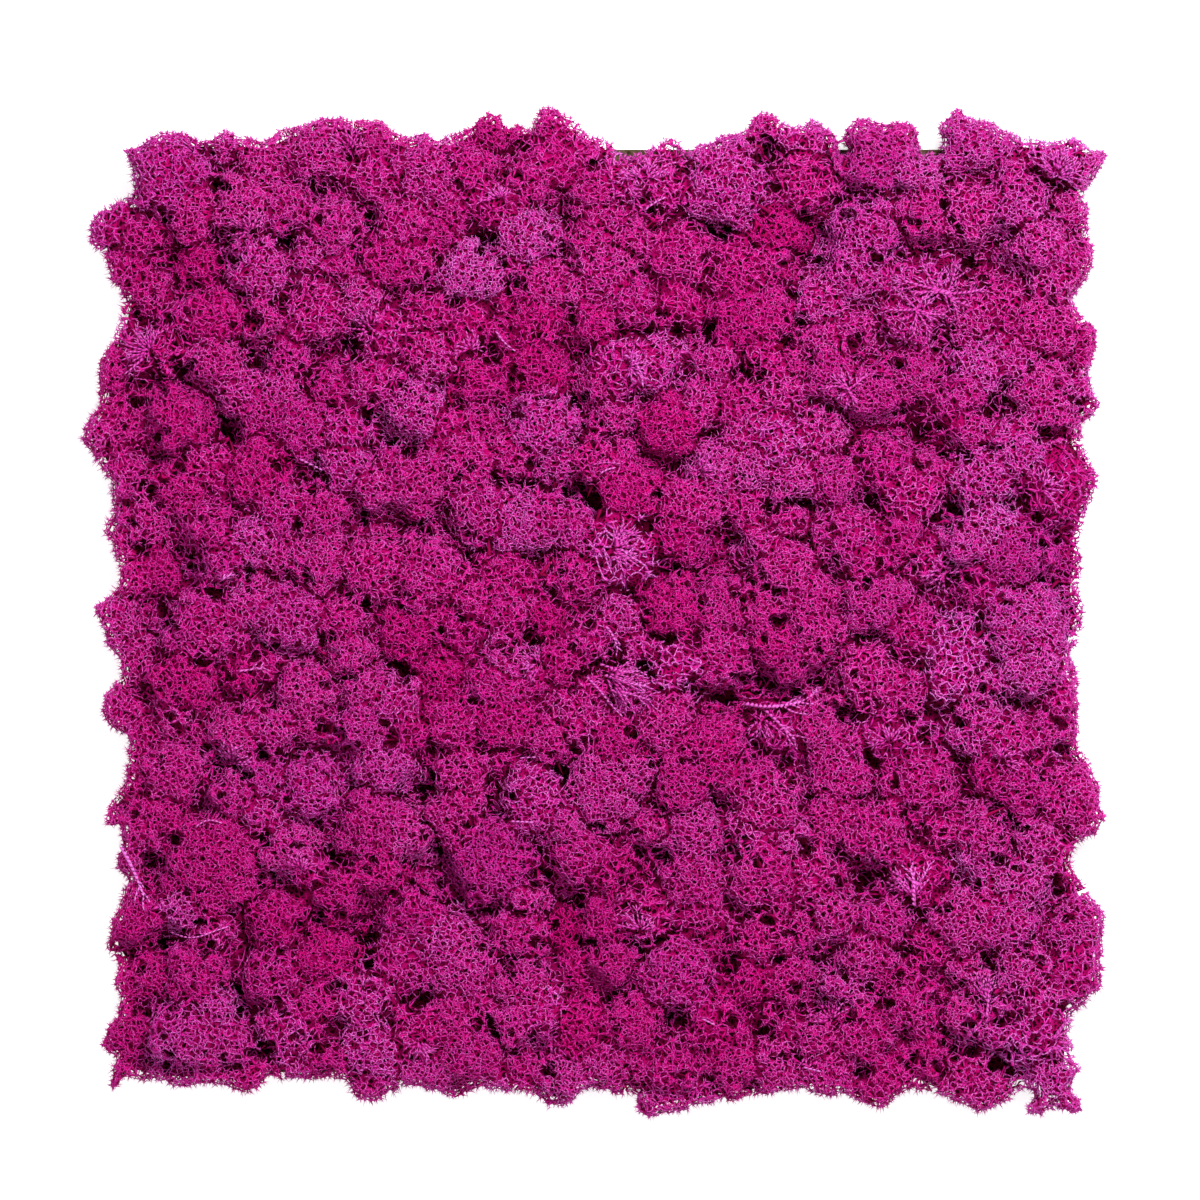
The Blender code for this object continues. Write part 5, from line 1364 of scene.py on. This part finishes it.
# painted shade on the core: darker where it lies far below the wider canopy, and under the open fan heads
painted_core_shade = (wide_h - node_h - CORE_DEPTH - 4.0) / 11.0
for x, y, reach, _, _, _, _ in FANS:
    painted_core_shade += 0.6 * np.exp(-((qx - x) ** 2 + (qy - y) ** 2) / (0.8 * reach) ** 2)
painted_core_shade = np.clip(painted_core_shade, 0.0, 1.0)
pull_y, pull_x = np.gradient(box_blur(depth_in, 6), CELL)
shift = np.where(depth_in[i, j] < 16.0, depth_in[i, j] - CORE_RIM, 0.0).clip(-9, 9)
size = np.maximum(np.hypot(pull_x[i, j], pull_y[i, j]), 0.3)
core_x = (qx.ravel() - pull_x[i, j] / size * shift).reshape(qx.shape)
core_y = (qy.ravel() - pull_y[i, j] / size * shift).reshape(qx.shape)
mx, my = np.meshgrid(cx[:-1] + PACE / 2, cy[:-1] + PACE / 2)
i, j = cells_of(mx.ravel(), my.ravel())
cell_tuft = head_tuft[owner[i, j]].reshape(mx.shape)
cell_tuft[(depth_in[i, j] < 9.0).reshape(mx.shape)] = -1


def core_mesh(tuft):
    bm = bmesh.new()
    corner = {}

    def at(r, c, top):
        key = (r, c, top)
        if key not in corner:
            h = node_h[r, c] if top else 0.7
            corner[key] = bm.verts.new((core_x[r, c], -core_y[r, c], h))
        return corner[key]

    mine = {(int(r), int(c)) for r, c in np.argwhere(cell_tuft == tuft)}
    for r, c in mine:
        bm.faces.new((at(r, c, 1), at(r + 1, c, 1), at(r + 1, c + 1, 1), at(r, c + 1, 1)))
        bm.faces.new((at(r, c, 0), at(r, c + 1, 0), at(r + 1, c + 1, 0), at(r + 1, c, 0)))
    for r, c in mine:
        for dr, dc, p, q in ((0, -1, (r, c), (r + 1, c)), (1, 0, (r + 1, c), (r + 1, c + 1)),
                             (0, 1, (r + 1, c + 1), (r, c + 1)), (-1, 0, (r, c + 1), (r, c))):
            if (r + dr, c + dc) not in mine:
                bm.faces.new((at(*q, 1), at(*p, 1), at(*p, 0), at(*q, 0)))
    bmesh.ops.triangulate(bm, faces=bm.faces[:])
    bmesh.ops.recalc_face_normals(bm, faces=bm.faces[:])
    bm.verts.index_update()
    v = np.array([w.co for w in bm.verts])
    f = np.array([[w.index for w in face.verts] for face in bm.faces])
    dark = np.ones(len(v))
    for (r, c, top), w in corner.items():
        if top:
            dark[w.index] = painted_core_shade[r, c]
    bm.free()
    return v, f, dark


def place(name, v, f, uv, dark, mat, k):
    me = bpy.data.meshes.new(name)
    me.vertices.add(len(v))
    me.vertices.foreach_set("co", to_metres(v).astype(np.float32).ravel())
    me.loops.add(3 * len(f))
    me.loops.foreach_set("vertex_index", f.astype(np.int32).ravel())
    me.polygons.add(len(f))
    me.polygons.foreach_set("loop_start", (3 * np.arange(len(f))).astype(np.int32))
    me.polygons.foreach_set("use_smooth", np.ones(len(f), bool))
    me.update(calc_edges=True)
    if uv is not None:
        layer = me.uv_layers.new(name="OFBake")
        layer.uv.foreach_set("vector", uv[f.ravel()].astype(np.float32).ravel())
    if dark is not None:
        layer = me.attributes.new("painted_core_shade", "FLOAT", "POINT")
        layer.data.foreach_set("value", dark.astype(np.float32))
    me.materials.append(mat)
    ob = bpy.data.objects.new(name, me)
    bpy.context.scene.collection.objects.link(ob)
    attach(ob, "root")
    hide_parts("tuft_%02d" % (k + 1))


for k in range(len(TUFTS)):
    v, f, dark = core_mesh(k)
    base = 0
    vs, fs, uvs = [], [], []
    for pv, pf, pu in zip(parts[k]["v"], parts[k]["f"], parts[k]["uv"]):
        vs.append(pv)
        fs.append(pf + base)
        uvs.append(pu)
        base += len(pv)
    is_deep = k + 1 in DEEP_TUFTS
    place("lichen_%02d" % (k + 1), np.concatenate(vs), np.concatenate(fs), np.concatenate(uvs),
          None, deep if is_deep else pink, k)
    place("lichen_mat_%02d" % (k + 1), v, f, None, dark, matted, k)
print("TIPS", len(tips), "NET", len(net_a), int(open_net.sum()), "TWIGS", int(used.sum()), "INNER", len(inner), len(inner_a), "BRANCHES", len(branch), len(limb), len(stem))
print("LAID", len(laid))

# ------------------------------------------------------------- the backing
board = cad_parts["backing_board"]
mat, nt, p = shader("board_fibre_rough", 0.9, 0.2)
co = nt.nodes.new("ShaderNodeTexCoord")
noise = nt.nodes.new("ShaderNodeTexNoise")
noise.inputs["Scale"].default_value = 420.0
noise.inputs["Detail"].default_value = 6.0
nt.links.new(co.outputs["Object"], noise.inputs["Vector"])
col = ramp(nt, noise.outputs["Fac"], [
    (0.30, (0.020, 0.012, 0.006)), (0.50, (0.060, 0.040, 0.016)),
    (0.72, (0.120, 0.085, 0.035))])
nt.links.new(col, p.inputs["Base Color"])
bump = nt.nodes.new("ShaderNodeBump")
bump.inputs["Strength"].default_value = 0.6
bump.inputs["Distance"].default_value = 0.0006
nt.links.new(noise.outputs["Fac"], bump.inputs["Height"])
nt.links.new(bump.outputs["Normal"], p.inputs["Normal"])
board.data.materials.clear()
board.data.materials.append(mat)

# ------------------------------------------------------------------ the set
floor_mesh = bpy.data.meshes.new("floor")
s = 12.0
floor_mesh.from_pydata([(-s, -s, -0.0004), (s, -s, -0.0004), (s, s, -0.0004), (-s, s, -0.0004)],
                       [], [(0, 1, 2, 3)])
floor = bpy.data.objects.new("floor", floor_mesh)
bpy.context.scene.collection.objects.link(floor)
mat, nt, p = shader("floor_white", 0.9, 0.1)
p.inputs["Base Color"].default_value = (0.7, 0.7, 0.7, 1)
p.inputs["Emission Color"].default_value = (1, 1, 1, 1)
p.inputs["Emission Strength"].default_value = FLOOR_GLOW
floor_mesh.materials.append(mat)
mat.cycles.emission_sampling = "NONE"

world = bpy.data.worlds.new("studio")
world.use_nodes = True
world.node_tree.nodes["Background"].inputs["Color"].default_value = (0.98, 0.98, 1.0, 1)
world.node_tree.nodes["Background"].inputs["Strength"].default_value = WORLD_LIGHT
world.cycles.sampling_method = "NONE"
bpy.context.scene.world = world

key = bpy.data.lights.new("key", "AREA")
key.shape = "DISK"
key.size = KEY_SIZE
key.energy = KEY_LIGHT
key_ob = bpy.data.objects.new("key", key)
away_to = Vector(KEY_FROM).normalized()
key_ob.location = away_to * KEY_AWAY
key_ob.rotation_euler = away_to.to_track_quat("Z", "Y").to_euler()
key_ob.visible_camera = False
bpy.context.scene.collection.objects.link(key_ob)

cam = bpy.data.cameras.new("camera")
cam.lens = 36.0 * 8.0 / 0.648
cam.clip_start, cam.clip_end = 0.5, 100.0
cam_ob = bpy.data.objects.new("camera", cam)
cam_ob.location = ((600 - MID_X) * STEP, (MID_Y - 600) * STEP, 0.035 + 8.0)
bpy.context.scene.collection.objects.link(cam_ob)
bpy.context.scene.camera = cam_ob

view = bpy.context.scene.view_settings
view.view_transform = "Standard"
view.look = "None"
